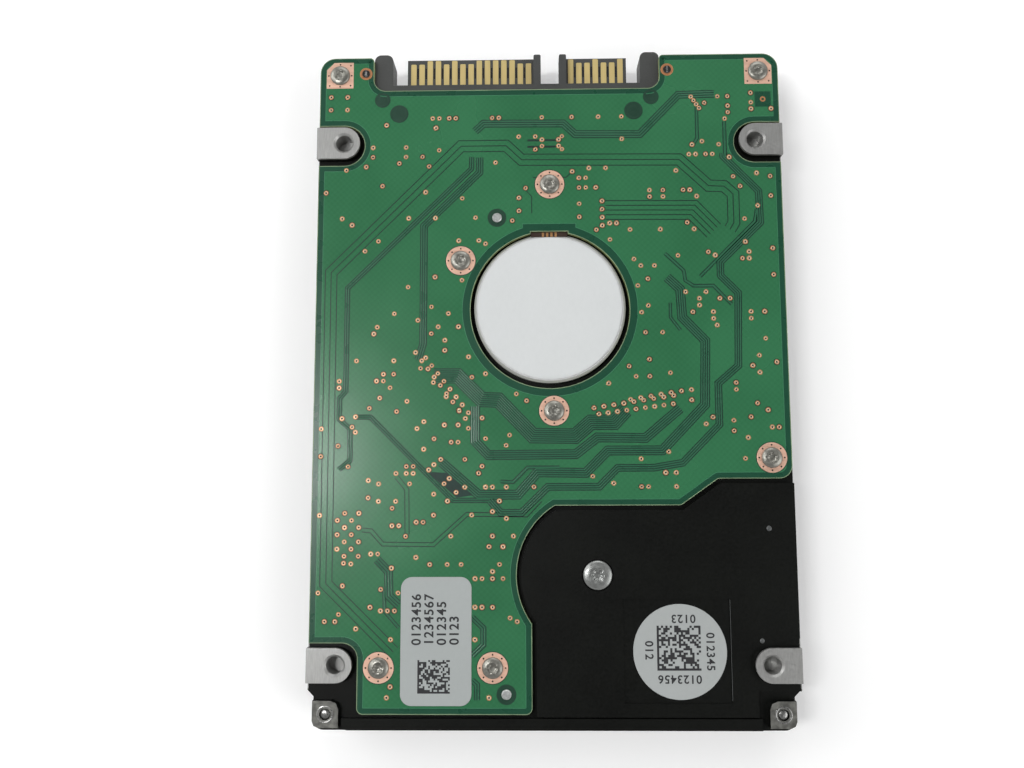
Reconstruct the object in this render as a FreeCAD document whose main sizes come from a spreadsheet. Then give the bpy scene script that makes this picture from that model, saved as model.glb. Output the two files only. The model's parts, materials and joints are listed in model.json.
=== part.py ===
"""A 2.5-inch hard disk drive, lying on its cover with the circuit board up.

X runs across the drive, +Y points at the serial connector and +Z leaves the
circuit board. The origin is the middle of the drive's footprint, on the plane
it rests on. All sizes are in millimetres.
"""
import FreeCAD, Part
import Sketcher
import os
import re

# ---------------------------------------------------------------- sizes

SIZES = {
    # outside of the drive
    "body_width": 69.85, "body_length": 100.2, "drive_height": 9.5,
    "board_end_y": 49.2, "corner_round": 2.3, "rear_round": 1.5,
    "lug_side_x": 34.05, "lug_start_y": -44.6,
    # heights above the resting plane
    "label_gauge": 0.1, "cover_gauge": 0.4, "flange_low": 0.9, "gasket_low": 1.3,
    "rim_low": 1.8, "floor_inside": 6.4, "floor_outside": 7.3, "island_inside": 7.1,
    "board_low": 8.15, "board_high": 8.95, "casting_top": 8.05, "island_top": 8.7,
    "rear_wall_top": 8.8, "lug_top": 9.1,
    # mounting interface
    "mount_x": 30.86, "mount_front_y": 35.6, "mount_pitch": 76.6, "mount_hole": 1.25,
    "mount_hole_depth": 3.0, "countersink": 0.3, "side_hole_drop": 3.0,
    "side_hole_depth": 2.5, "tab_round": 2.42,
    # axes
    "spindle_y": 10.35, "pivot_x": 6.53, "pivot_y": -28.57, "parked_angle": 155.0,
    # cavities
    "disc_bay": 33.2, "bay_x": 33.2, "bay_front_y": -12.0, "bay_rear_y": -48.3,
    "post_corner_x": 26.9, "post_corner_y": -36.9, "motor_bore": 10.65,
    # circuit board
    "board_x": 34.7, "slot_left_x": -26.5, "slot_right_x": 16.8, "slot_y": 43.95,
    "tab_cut": 3.1, "tab_cut_y": 35.32, "board_left_end_x": -27.75, "board_rear_y": -47.8,
    "board_right_end_x": -2.9, "island_edge_y": -18.67, "pivot_clear": 11.6,
    "board_step_x": 18.6, "board_rise_x": 24.0, "board_step_y": -14.88, "board_motor_y": 10.05,
    "board_motor_hole": 11.75, "island_gap": 0.65,
    # connector
    "case_slot_y": 46.1, "connector_front_y": 45.2, "connector_back_y": 44.35, "contact_pitch": 1.27,
    "contact_root_y": 45.25,
    "contact_width": 0.84, "contact_gauge": 0.08, "tongue_low": 5.3, "tongue_high": 6.53,
    "tongue_tip_y": 49.9, "key_high": 7.9, "key_width": 1.1, "power_left_x": -21.7,
    "power_right_x": -1.1, "signal_left_x": 1.7, "signal_right_x": 12.1, "post_left_x": -26.58,
    "post_right_x": 16.93, "post_width": 2.85, "first_power_x": -20.75, "first_signal_x": 3.55,
    # discs and spindle
    "disc_outer": 32.5, "disc_inner": 10.0, "disc_gauge": 0.635, "disc_gap": 1.8,
    "hub_barrel": 9.97, "hub_flange": 12.4, "spindle_shaft": 1.5, "shaft_play": 0.02,
    "motor_disc": 11.2,
    # actuator
    "arm_reach": 22.0, "head_reach": 33.0, "hub_round": 5.6, "block_low": 0.95,
    "block_high": 6.15, "coil_low": 2.5, "coil_high": 4.2, "coil_inner": 10.3, "coil_outer": 17.8,
    "coil_half_angle": 16.0, "yoke_inner": 8.3, "yoke_outer": 19.2, "yoke_start_angle": 282.0,
    "yoke_sweep": 71.0, "fixing_radius": 20.3,
}

# PCB screws, locating pins and cover screws, as places on the drive
BOARD_SCREWS = [(-31.7, 46.45), (31.7, 46.45), (0.1, 29.05), (-13.2, 17.45),
                (0.5, -4.98), (31.8, -11.9), (-24.7, -41.4), (-8.5, -41.4)]
LOCATING_PINS = [(-7.8, 23.96), (-6.55, -45.05)]
COVER_SCREWS = [(-31.4, 46.0), (31.4, 46.0), (-32.2, -19.5), (32.2, -19.5),
                (-32.15, -47.75), (32.15, -47.75)]
CONNECTOR_PEGS = [(-25.15, 42.47, 0.9), (-22.6, 40.27, 1.1), (15.49, 42.57, 0.9), (12.84, 40.43, 1.1)]
HOLD_DOWNS = [(-27.74, 46.68), (18.01, 46.84)]
# True is a long contact, counted along +X
POWER_CONTACTS = [False, False, True, True, False, True, False, False, True,
                  True, True, True, True, False, False]
SIGNAL_CONTACTS = [True, False, False, True, False, False, True]

doc = FreeCAD.newDocument("hard_disk_drive")
sheet = doc.addObject("Spreadsheet::Sheet", "sizes")
for row, (alias, value) in enumerate(SIZES.items(), start=1):
    sheet.set(f"A{row}", alias)
    sheet.set(f"B{row}", str(value))
    sheet.setAlias(f"B{row}", alias)
doc.recompute()

nodes = []          # the finished sub-parts, in order


def bind(expression):
    """Point the names in an expression at the sheet."""
    return re.sub(r"\b([a-z][a-z_]+)\b(?!\()", r"sizes.\1", str(expression))


def number(expression):
    """The value of an expression over the sheet's names."""
    return float(sheet.evalExpression(bind(expression)))


# ---------------------------------------------------------------- helpers

def finish(item):
    """Take an object as a finished sub-part."""
    nodes.append(item)
    return item


def new_body(name):
    body = doc.addObject("PartDesign::Body", name)
    body.Label = name
    return body


def plane_of(body, role):
    return next(plane for plane in body.Origin.OriginFeatures if plane.Role == role)


def new_sketch(body, role="XY_Plane", height="0"):
    sketch = body.newObject("Sketcher::SketchObject", body.Name + "_sketch")
    sketch.AttachmentSupport = [(plane_of(body, role), "")]
    sketch.MapMode = "FlatFace"
    if height != "0":
        sketch.setExpression("AttachmentOffset.Base.z", bind(height))
    return sketch


def hold(sketch, kind, geometry, point, expression):
    """Fix one coordinate of a sketch point, or a radius, to the sheet."""
    value = number(expression)
    if kind == "Radius":
        index = sketch.addConstraint(Sketcher.Constraint(kind, geometry, value))
    else:
        index = sketch.addConstraint(Sketcher.Constraint(kind, -1, 1, geometry, point, value))
    sketch.setExpression(f"Constraints[{index}]", bind(expression))


def draw_outline(sketch, corners):
    """Draw a closed outline of straight edges through (x, y) expressions."""
    first = sketch.GeometryCount
    places = [FreeCAD.Vector(number(x), number(y), 0) for x, y in corners]
    count = len(places)
    for index in range(count):
        sketch.addGeometry(Part.LineSegment(places[index], places[(index + 1) % count]), False)
    for index in range(count):
        following = first + (index + 1) % count
        sketch.addConstraint(Sketcher.Constraint("Coincident", first + index, 2, following, 1))
    for index, (x, y) in enumerate(corners):
        hold(sketch, "DistanceX", first + index, 1, x)
        hold(sketch, "DistanceY", first + index, 1, y)


def draw_circle(sketch, x, y, radius):
    centre = FreeCAD.Vector(number(x), number(y), 0)
    circle = Part.Circle(centre, FreeCAD.Vector(0, 0, 1), number(radius))
    index = sketch.addGeometry(circle, False)
    hold(sketch, "DistanceX", index, 3, x)
    hold(sketch, "DistanceY", index, 3, y)
    hold(sketch, "Radius", index, 0, radius)


def draw_box(sketch, low_x, low_y, high_x, high_y):
    draw_outline(sketch, [(low_x, low_y), (high_x, low_y), (high_x, high_y), (low_x, high_y)])


def raise_pad(body, sketch, depth):
    pad = body.newObject("PartDesign::Pad", body.Name + "_pad")
    pad.Profile = sketch
    pad.setExpression("Length", bind(depth))
    sketch.Visibility = False
    doc.recompute()
    return pad


def cut_pocket(body, sketch, depth, upward=True):
    """Cut from the sketch, towards the sketch's normal when upward."""
    before = body.Shape.Volume
    pocket = body.newObject("PartDesign::Pocket", body.Name + "_pocket")
    pocket.Profile = sketch
    pocket.setExpression("Length", bind(depth))
    pocket.Reversed = upward
    doc.recompute()
    if body.Shape.Volume >= before - 1e-6:
        raise RuntimeError(f"a pocket in {body.Name} cuts nothing")
    return pocket


def upright_edges(shape, places):
    """Names of the vertical edges that stand at the given places."""
    names = []
    for x, y in places:
        target = FreeCAD.Vector(number(x), number(y), 0)
        for index, edge in enumerate(shape.Edges, start=1):
            ends = [vertex.Point for vertex in edge.Vertexes]
            if len(ends) != 2:
                continue
            flat = [FreeCAD.Vector(end.x, end.y, 0) for end in ends]
            upright = (flat[0] - flat[1]).Length < 1e-4
            if upright and (flat[0] - target).Length < 0.02:
                names.append(f"Edge{index}")
    return names


def round_corners(body, places, radius):
    base = body.Tip
    names = upright_edges(base.Shape, places)
    if not names:
        raise RuntimeError(f"no corner to round in {body.Name}")
    fillet = body.newObject("PartDesign::Fillet", body.Name + "_round")
    fillet.Base = (base, names)
    fillet.setExpression("Radius", bind(radius))
    doc.recompute()
    if not fillet.Shape.isValid() or fillet.Shape.Volume <= 0:
        raise RuntimeError(f"a rounding in {body.Name} failed")
    return fillet


def plate(name, corners, low, high, holes=(), rounding=None):
    """A flat piece: an outline with round holes, from one height to another."""
    body = new_body(name)
    sketch = new_sketch(body, height=low)
    draw_outline(sketch, corners)
    for x, y, radius in holes:
        draw_circle(sketch, x, y, radius)
    raise_pad(body, sketch, f"({high}) - ({low})")
    if rounding:
        round_corners(body, corners, rounding)
    return body


def block(name, low_x, low_y, high_x, high_y, low, high, rounding=None, holes=()):
    corners = [(low_x, low_y), (high_x, low_y), (high_x, high_y), (low_x, high_y)]
    return plate(name, corners, low, high, holes, rounding)


def turned(name, profile, x="0", y="0"):
    """A round piece: a profile of (radius, height) turned about an upright axis."""
    body = new_body(name)
    sketch = new_sketch(body, role="XZ_Plane")
    draw_outline(sketch, profile)
    turn = body.newObject("PartDesign::Revolution", name + "_turn")
    turn.Profile = sketch
    turn.ReferenceAxis = (sketch, ["V_Axis"])
    turn.Angle = 360
    place(body, x, y)
    doc.recompute()
    return body


def place(item, x, y, angle=None):
    item.setExpression("Placement.Base.x", bind(x))
    item.setExpression("Placement.Base.y", bind(y))
    if angle is not None:
        item.Placement.Rotation = FreeCAD.Rotation(FreeCAD.Vector(0, 0, 1), 1)
        item.setExpression("Placement.Rotation.Angle", bind(angle))


def tube_profile(inner, outer, low, high):
    return [(inner, low), (outer, low), (outer, high), (inner, high)]


def group(name, copies):
    """Copies of master pieces as one node; each copy is (master, x, y[, z])."""
    links = []
    for index, (master, x, y, *rest) in enumerate(copies):
        link = doc.addObject("App::Link", f"{name}_{index}")
        link.LinkedObject = master
        link.setExpression("Placement.Base.x", bind(x))
        link.setExpression("Placement.Base.y", bind(y))
        if rest:
            link.setExpression("Placement.Base.z", bind(rest[0]))
        links.append(link)
    compound = doc.addObject("Part::Compound", name)
    compound.Label = name
    compound.Links = links
    doc.recompute()
    return finish(compound)


def sector(name, inner, outer, low, high, start, sweep):
    """A flat ring sector about the local origin, from primitives."""
    shapes = []
    for part_name, radius in (("_disc", outer), ("_core", inner)):
        cylinder = doc.addObject("Part::Cylinder", name + part_name)
        cylinder.setExpression("Radius", bind(radius))
        cylinder.setExpression("Height", bind(f"({high}) - ({low})"))
        cylinder.setExpression("Angle", bind(sweep))
        cylinder.setExpression("Placement.Base.z", bind(low))
        cylinder.Placement.Rotation = FreeCAD.Rotation(FreeCAD.Vector(0, 0, 1), 1)
        cylinder.setExpression("Placement.Rotation.Angle", bind(start))
        shapes.append(cylinder)
    cut = doc.addObject("Part::Cut", name)
    cut.Base, cut.Tool = shapes
    cut.Label = name
    return cut


def cylinder(name, radius, low, high, x="0", y="0"):
    solid = doc.addObject("Part::Cylinder", name)
    solid.setExpression("Radius", bind(radius))
    solid.setExpression("Height", bind(f"({high}) - ({low})"))
    solid.setExpression("Placement.Base.z", bind(low))
    place(solid, x, y)
    solid.Label = name
    return solid


def fuse(name, pieces):
    joined = doc.addObject("Part::MultiFuse", name)
    joined.Shapes = pieces
    joined.Label = name
    doc.recompute()
    return joined


def cut(name, base, tool):
    result = doc.addObject("Part::Cut", name)
    result.Base = base
    result.Tool = tool
    result.Label = name
    doc.recompute()
    return result


# ---------------------------------------------------------------- enclosure

HALF_X = "body_width / 2"
REAR_Y = "-body_length / 2"
TABS = [("-mount_x", "mount_front_y"), ("mount_x", "mount_front_y"),
        ("-mount_x", "mount_front_y - mount_pitch"), ("mount_x", "mount_front_y - mount_pitch")]
LUGS = [("-32.15", "-47.75"), ("32.15", "-47.75")]


def case_outline(inset):
    """The drive's outline with its connector notch, drawn in by an inset."""
    return [
        (f"-{HALF_X} + {inset}", f"board_end_y - {inset}"),
        (f"-{HALF_X} + {inset}", f"lug_start_y + {inset}"),
        (f"-lug_side_x + {inset}", f"lug_start_y - 0.9 + {inset}"),
        (f"-lug_side_x + {inset}", f"{REAR_Y} + {inset}"),
        (f"lug_side_x - {inset}", f"{REAR_Y} + {inset}"),
        (f"lug_side_x - {inset}", f"lug_start_y - 0.9 + {inset}"),
        (f"{HALF_X} - {inset}", f"lug_start_y + {inset}"),
        (f"{HALF_X} - {inset}", f"board_end_y - {inset}"),
        (f"slot_right_x + 0.7 + {inset}", f"board_end_y - {inset}"),
        (f"slot_right_x + 0.7 + {inset}", f"case_slot_y - {inset}"),
        (f"slot_left_x - 0.7 - {inset}", f"case_slot_y - {inset}"),
        (f"slot_left_x - 0.7 - {inset}", f"board_end_y - {inset}"),
    ]


def bay_outline(grow="0"):
    """The part of the inside that holds the actuator."""
    return [
        (f"-bay_x - {grow}", f"bay_front_y + {grow}"), (f"bay_x + {grow}", f"bay_front_y + {grow}"),
        (f"bay_x + {grow}", f"post_corner_y - {grow}"),
        (f"post_corner_x + {grow}", f"post_corner_y - {grow}"),
        (f"post_corner_x + {grow}", f"bay_rear_y - {grow}"),
        (f"-post_corner_x - {grow}", f"bay_rear_y - {grow}"),
        (f"-post_corner_x - {grow}", f"post_corner_y - {grow}"),
        (f"-bay_x - {grow}", f"post_corner_y - {grow}"),
    ]


def island_outline(inset):
    """The raised area round the actuator that the circuit board leaves bare."""
    return [
        (HALF_X, f"board_step_y - {inset}"),
        (f"board_rise_x + {inset} / 2", f"board_step_y - {inset}"),
        (f"board_step_x + {inset} / 2", f"island_edge_y - {inset}"),
        (f"pivot_x - 6.0 + {inset}", f"island_edge_y - {inset}"),
        (f"board_right_end_x + {inset}", "pivot_y - 6.8"),
        (f"board_right_end_x + {inset}", "board_rear_y - 0.4"),
        ("post_corner_x + 2.0", "board_rear_y - 0.4"),
        ("post_corner_x + 2.0", "lug_start_y"),
        (HALF_X, "lug_start_y"),
    ]


def make_base_casting():
    body = new_body("base_casting")
    sketch = new_sketch(body, height="rim_low")
    draw_outline(sketch, case_outline("0"))
    raise_pad(body, sketch, "casting_top - rim_low")
    rear = [("-lug_side_x", REAR_Y), ("lug_side_x", REAR_Y)]
    front = [(f"-{HALF_X}", "board_end_y"), (HALF_X, "board_end_y")]
    round_corners(body, front, "corner_round")
    round_corners(body, rear, "rear_round")

    # disc bay and actuator bay, open towards the cover
    sketch = new_sketch(body, height="rim_low")
    draw_circle(sketch, "0", "spindle_y", "disc_bay")
    cut_pocket(body, sketch, "floor_inside - rim_low")
    sketch = new_sketch(body, height="rim_low")
    draw_outline(sketch, bay_outline())
    cut_pocket(body, sketch, "floor_inside - rim_low")

    # component recess under the circuit board
    sketch = new_sketch(body, height="floor_outside")
    draw_outline(sketch, [
        ("-33.6", "31.3"), ("-27.2", "31.3"), ("-27.2", "42.6"), ("27.2", "42.6"),
        ("27.2", "31.3"), ("33.6", "31.3"), ("33.6", "-13.2"), ("23.4", "-13.2"),
        ("17.6", "-17.2"), ("-1.4", "-17.2"), ("-6.4", "-23.6"), ("-6.4", "-33.4"),
        ("-4.2", "-38.0"), ("-4.2", "-46.6"), ("-26.6", "-46.6"), ("-26.6", "-36.6"),
        ("-33.6", "-36.6")])
    cut_pocket(body, sketch, "casting_top - floor_outside")

    # connector pocket, open at the end of the drive
    sketch = new_sketch(body, height="4.9")
    draw_box(sketch, "slot_left_x - 3.0", "connector_back_y - 0.15",
             "slot_right_x + 3.0", "board_end_y + 1")
    cut_pocket(body, sketch, "casting_top - 4.9")

    sketch = new_sketch(body, height="floor_outside")
    draw_box(sketch, "slot_left_x - 3.0", "38.7", "slot_right_x + 3.0", "connector_back_y + 0.1")
    cut_pocket(body, sketch, "casting_top - floor_outside")

    # raised island, rear wall, screw posts and lugs
    sketch = new_sketch(body, height="casting_top - 0.1")
    draw_outline(sketch, island_outline("island_gap"))
    raise_pad(body, sketch, "island_top - casting_top + 0.1")
    sketch = new_sketch(body, height="casting_top - 0.1")
    draw_boss_cap(sketch, "pivot_clear - island_gap", "island_edge_y - island_gap")
    raise_pad(body, sketch, "island_top - casting_top + 0.1")
    sketch = new_sketch(body, height="casting_top - 0.1")
    draw_box(sketch, "-29.9", f"{REAR_Y} + 0.12", "29.3", "board_rear_y - 0.57")
    raise_pad(body, sketch, "rear_wall_top - casting_top + 0.1")
    round_corners(body, [("-29.9", f"{REAR_Y} + 0.12")], "0.9")
    sketch = new_sketch(body, height="floor_outside - 0.1")
    for x, y in BOARD_SCREWS:
        draw_circle(sketch, x, y, "2.2")
    for x, y in LOCATING_PINS:
        draw_circle(sketch, x, y, "1.6")
    raise_pad(body, sketch, "board_low - floor_outside + 0.1")
    for x, y in LUGS:
        side = 1 if number(x) > 0 else -1
        sketch = new_sketch(body, height="casting_top - 0.1")
        draw_outline(sketch, [
            (f"{x} + {side} * 0.95", f"{y} - 1.85"), (f"{x} + {side} * 1.6", f"{y} - 1.55"),
            (f"{x} + {side} * 1.85", f"{y} - 0.9"), (f"{x} + {side} * 1.85", f"{y} + 1.85"),
            (f"{x} - {side} * 0.75", f"{y} + 1.85"), (f"{x} - {side} * 1.55", f"{y} + 1.5"),
            (f"{x} - {side} * 1.85", f"{y} + 0.7"), (f"{x} - {side} * 1.85", f"{y} - 1.85")])
        raise_pad(body, sketch, "lug_top - casting_top + 0.1")

    # mounting tabs: flat outer edge, round inner end
    for x, y in TABS:
        side = 1 if number(x) > 0 else -1
        sketch = new_sketch(body, height="casting_top - 0.1")
        draw_box(sketch, f"{side} * mount_x", f"({y}) - tab_round",
                 f"{side} * {HALF_X}", f"({y}) + tab_round")
        raise_pad(body, sketch, "drive_height - casting_top + 0.1")
        sketch = new_sketch(body, height="casting_top - 0.1")
        draw_circle(sketch, x, y, "tab_round")
        raise_pad(body, sketch, "drive_height - casting_top + 0.1")

    # threaded holes of the tabs and of the two sides
    sketch = new_sketch(body, height="drive_height")
    for x, y in TABS:
        draw_circle(sketch, x, y, "mount_hole")
    cut_pocket(body, sketch, "mount_hole_depth", upward=False)
    sketch = new_sketch(body, height="drive_height")
    for x, y in TABS:
        draw_circle(sketch, x, y, "mount_hole + countersink")
    pocket = cut_pocket(body, sketch, "countersink", upward=False)
    pocket.TaperAngle = -45
    for side in (-1, 1):
        sketch = new_sketch(body, role="YZ_Plane", height=f"{side} * {HALF_X}")
        for y in ("mount_front_y", "mount_front_y - mount_pitch"):
            draw_circle(sketch, y, "drive_height - side_hole_drop", "mount_hole")
        cut_pocket(body, sketch, "side_hole_depth", upward=side < 0)

    # the deeper bay over the voice coil, the motor hole and the pivot screw hole
    sketch = new_sketch(body, height="floor_inside - 0.1")
    draw_outline(sketch, [("-1.4", "-34.6"), ("-1.4", "bay_rear_y"), ("post_corner_x", "bay_rear_y"),
                          ("post_corner_x", "post_corner_y"), ("bay_x", "post_corner_y"),
                          ("bay_x", "-17.0"), ("20.0", "-21.0"), ("11.4", "-21.0"), ("11.4", "-34.6")])
    cut_pocket(body, sketch, "island_inside - floor_inside + 0.1")
    sketch = new_sketch(body, height="floor_inside - 0.1")
    draw_circle(sketch, "0", "spindle_y", "motor_bore")
    cut_pocket(body, sketch, "floor_outside - floor_inside + 0.2")
    sketch = new_sketch(body, height="floor_inside - 0.1")
    draw_circle(sketch, "pivot_x", "pivot_y", "1.25")
    cut_pocket(body, sketch, "island_top - floor_inside + 0.2")
    sketch = new_sketch(body, height="island_top")
    draw_circle(sketch, "pivot_x", "pivot_y", "2.25")
    cut_pocket(body, sketch, "0.55", upward=False)
    # shallow recess round the round label, and a moulding mark
    sketch = new_sketch(body, height="island_top")
    draw_box(sketch, "10.1", "-46.3", "25.2", "-31.9")
    cut_pocket(body, sketch, "0.12", upward=False)

    # blind holes for the cover screws, locating pins and board screws
    sketch = new_sketch(body, height="rim_low")
    for x, y in COVER_SCREWS[:4]:
        draw_circle(sketch, x, y, "0.8")
    cut_pocket(body, sketch, "2.8")
    sketch = new_sketch(body, height="rim_low")
    for x, y in LUGS:
        draw_circle(sketch, x, y, "0.8")
    cut_pocket(body, sketch, "drive_height")
    sketch = new_sketch(body, height="board_low")
    for x, y in LOCATING_PINS:
        draw_circle(sketch, x, y, "0.75")
    for x, y in BOARD_SCREWS:
        draw_circle(sketch, x, y, "0.8")
    cut_pocket(body, sketch, "1.0", upward=False)
    return finish(body)


def make_cover():
    """A pressed cover: a rim that meets the gasket and a raised panel."""
    body = new_body("top_cover")
    sketch = new_sketch(body, height="flange_low")
    draw_outline(sketch, case_outline("0.1"))
    raise_pad(body, sketch, "cover_gauge")
    round_corners(body, [(f"-{HALF_X} + 0.1", "board_end_y - 0.1"),
                         (f"{HALF_X} - 0.1", "board_end_y - 0.1")], "corner_round")
    round_corners(body, [("-lug_side_x + 0.1", f"{REAR_Y} + 0.1"),
                         ("lug_side_x - 0.1", f"{REAR_Y} + 0.1")], "rear_round")
    sketch = new_sketch(body, height="label_gauge")
    panel = panel_outline("0")
    draw_outline(sketch, panel)
    raise_pad(body, sketch, "flange_low - label_gauge + 0.05")
    round_corners(body, panel, "1.2")
    sketch = new_sketch(body, height="label_gauge + cover_gauge")
    draw_outline(sketch, panel_outline("0.45"))
    cut_pocket(body, sketch, "flange_low - label_gauge")
    # dimple over the pivot, with its screw hole
    sketch = new_sketch(body, height="label_gauge + cover_gauge - 0.05")
    draw_circle(sketch, "pivot_x", "pivot_y", "2.7")
    raise_pad(body, sketch, "0.4")
    sketch = new_sketch(body, height="label_gauge")
    draw_circle(sketch, "pivot_x", "pivot_y", "2.2")
    cut_pocket(body, sketch, "0.5")
    sketch = new_sketch(body, height="label_gauge")
    draw_circle(sketch, "pivot_x", "pivot_y", "0.95")
    draw_circle(sketch, "-27.0", "-41.0", "0.6")
    cut_pocket(body, sketch, "2.0")
    sketch = new_sketch(body, height="label_gauge")
    for x, y in COVER_SCREWS:
        draw_circle(sketch, x, y, "0.95")
    cut_pocket(body, sketch, "2.0")
    return finish(body)


def panel_outline(inset):
    """The raised panel, with its corners drawn in round the cover screws."""
    return [
        (f"-32.9 + {inset}", f"38.5 - {inset}"), (f"-32.9 + {inset}", f"-16.0 + {inset}"),
        (f"-30.0 + {inset}", f"-18.5 + {inset}"), (f"-30.0 + {inset}", f"-45.0 + {inset}"),
        (f"-28.2 + {inset}", f"-48.2 + {inset}"), (f"28.2 - {inset}", f"-48.2 + {inset}"),
        (f"30.0 - {inset}", f"-45.0 + {inset}"), (f"30.0 - {inset}", f"-18.5 + {inset}"),
        (f"32.9 - {inset}", f"-16.0 + {inset}"), (f"32.9 - {inset}", f"38.5 - {inset}"),
        (f"27.0 - {inset}", f"44.4 - {inset}"), (f"-27.0 + {inset}", f"44.4 - {inset}"),
    ]


def make_gasket():
    body = new_body("cover_gasket")
    sketch = new_sketch(body, height="gasket_low")
    draw_outline(sketch, case_outline("0.5"))
    raise_pad(body, sketch, "rim_low - gasket_low")
    sketch = new_sketch(body, height="gasket_low")
    draw_circle(sketch, "0", "spindle_y", "disc_bay + 0.2")
    cut_pocket(body, sketch, "1.0")
    sketch = new_sketch(body, height="gasket_low")
    draw_outline(sketch, bay_outline("0.2"))
    cut_pocket(body, sketch, "1.0")
    sketch = new_sketch(body, height="gasket_low")
    for x, y in COVER_SCREWS:
        draw_circle(sketch, x, y, "0.95")
    cut_pocket(body, sketch, "1.0")
    return finish(body)


def make_cover_screws():
    """Flat-headed screws with a hexalobular recess cut as a round socket."""
    rim = turned("cover_screw", [("0", "0.7"), ("0.5", "0.7"), ("0.5", "0.35"), ("1.3", "0.35"),
                                 ("1.4", "0.45"), ("1.4", "0.9"), ("0.75", "0.9"), ("0.75", "3.8"),
                                 ("0", "3.8")])
    copies = [(rim, x, y) for x, y in COVER_SCREWS]
    pivot = turned("pivot_cover_screw", [("0", "0.4"), ("0.6", "0.4"), ("0.6", "0.15"), ("1.9", "0.15"),
                                         ("1.9", "0.6"), ("0.7", "0.6"), ("0.7", "2.4"), ("0", "2.4")])
    copies.append((pivot, "pivot_x", "pivot_y"))
    return group("cover_screws", copies)


def make_labels():
    finish(block("cover_label", "-28.5", "-44.0", "28.5", "42.5", "0", "label_gauge", "2.0",
                 holes=[("pivot_x", "pivot_y", "2.6"), ("-27.0", "-41.0", "1.0")]))
    finish(block("board_label", "-21.58", "-46.6", "-11.5", "-28.75", "board_high",
                 "board_high + 0.08", "1.6"))
    round_label = turned("round_label", [("0", "island_top - 0.12"), ("6.6", "island_top - 0.12"),
                                         ("6.6", "island_top - 0.04"), ("0", "island_top - 0.04")],
                         "18.0", "-39.2")
    finish(round_label)


# ---------------------------------------------------------------- circuit board

def make_circuit_board():
    """The board's outline steps round the tabs, the connector and the pivot."""
    body = new_body("circuit_board")
    sketch = new_sketch(body, height="board_low")
    corners = [
        ("-board_x", "board_end_y"), ("-board_x", "board_rear_y + 9.8"),
        ("board_left_end_x", "board_rear_y + 9.8"), ("board_left_end_x", "board_rear_y"),
        ("board_right_end_x", "board_rear_y"), ("board_right_end_x", "pivot_y - 6.8"),
        ("pivot_x - 11.6", "pivot_y - 6.8"), ("pivot_x - 11.6", "island_edge_y"),
        ("board_step_x", "island_edge_y"), ("board_rise_x", "board_step_y"),
        ("board_x", "board_step_y"), ("board_x", "board_end_y"),
        ("slot_right_x", "board_end_y"), ("slot_right_x", "slot_y"),
        ("slot_left_x", "slot_y"), ("slot_left_x", "board_end_y")]
    draw_outline(sketch, corners)
    raise_pad(body, sketch, "board_high - board_low")

    # web that follows the pivot boss: a block less the boss circle
    web = new_sketch(body, height="board_low")
    draw_box(web, "pivot_x - 11.7", "pivot_y - 6.8", "pivot_x - 6.0", "island_edge_y")
    raise_pad(body, web, "board_high - board_low")
    boss = new_sketch(body, height="board_low")
    draw_boss_cap(boss, "pivot_clear", "island_edge_y")
    cut_pocket(body, boss, "board_high - board_low")

    # openings: mounting tabs, motor, motor connector notch, pins, screws and pegs
    openings = new_sketch(body, height="board_low")
    draw_circle(openings, "0", "board_motor_y", "board_motor_hole")
    cut_pocket(body, openings, "board_high - board_low")
    notch = new_sketch(body, height="board_low")
    draw_box(notch, "-2.8", "board_motor_y", "2.75", "board_motor_y + board_motor_hole")
    cut_pocket(body, notch, "board_high - board_low")
    for x, y in TABS[:2]:
        side = 1 if number(x) > 0 else -1
        tab = new_sketch(body, height="board_low")
        draw_circle(tab, x, "tab_cut_y", "tab_cut")
        cut_pocket(body, tab, "board_high - board_low")
        tab = new_sketch(body, height="board_low")
        draw_box(tab, f"{side} * mount_x", "tab_cut_y - tab_cut",
                 f"{side} * {HALF_X} + {side}", "tab_cut_y + tab_cut")
        cut_pocket(body, tab, "board_high - board_low")
    holes = new_sketch(body, height="board_low")
    for x, y in BOARD_SCREWS:
        draw_circle(holes, x, y, "0.95")
    for x, y in LOCATING_PINS:
        draw_circle(holes, x, y, "0.85")
    for x, y, radius in CONNECTOR_PEGS:
        draw_circle(holes, x, y, radius)
    for x, y in HOLD_DOWNS:
        draw_circle(holes, x, y, "0.72")
    cut_pocket(body, holes, "board_high - board_low")

    round_corners(body, [("-board_x", "board_end_y"), ("board_x", "board_end_y")], "corner_round")
    round_corners(body, [("slot_left_x", "slot_y"), ("slot_right_x", "slot_y")], "1.8")
    round_corners(body, [("slot_left_x", "board_end_y"), ("slot_right_x", "board_end_y")], "0.6")
    round_corners(body, [("board_x", "board_step_y")], "1.9")
    round_corners(body, [("board_left_end_x", "board_rear_y + 9.8")], "2.2")
    round_corners(body, [("board_left_end_x", "board_rear_y"),
                         ("board_right_end_x", "board_rear_y")], "0.9")
    round_corners(body, [("board_step_x", "island_edge_y"), ("board_rise_x", "board_step_y")], "0.8")
    return finish(body)


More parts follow.
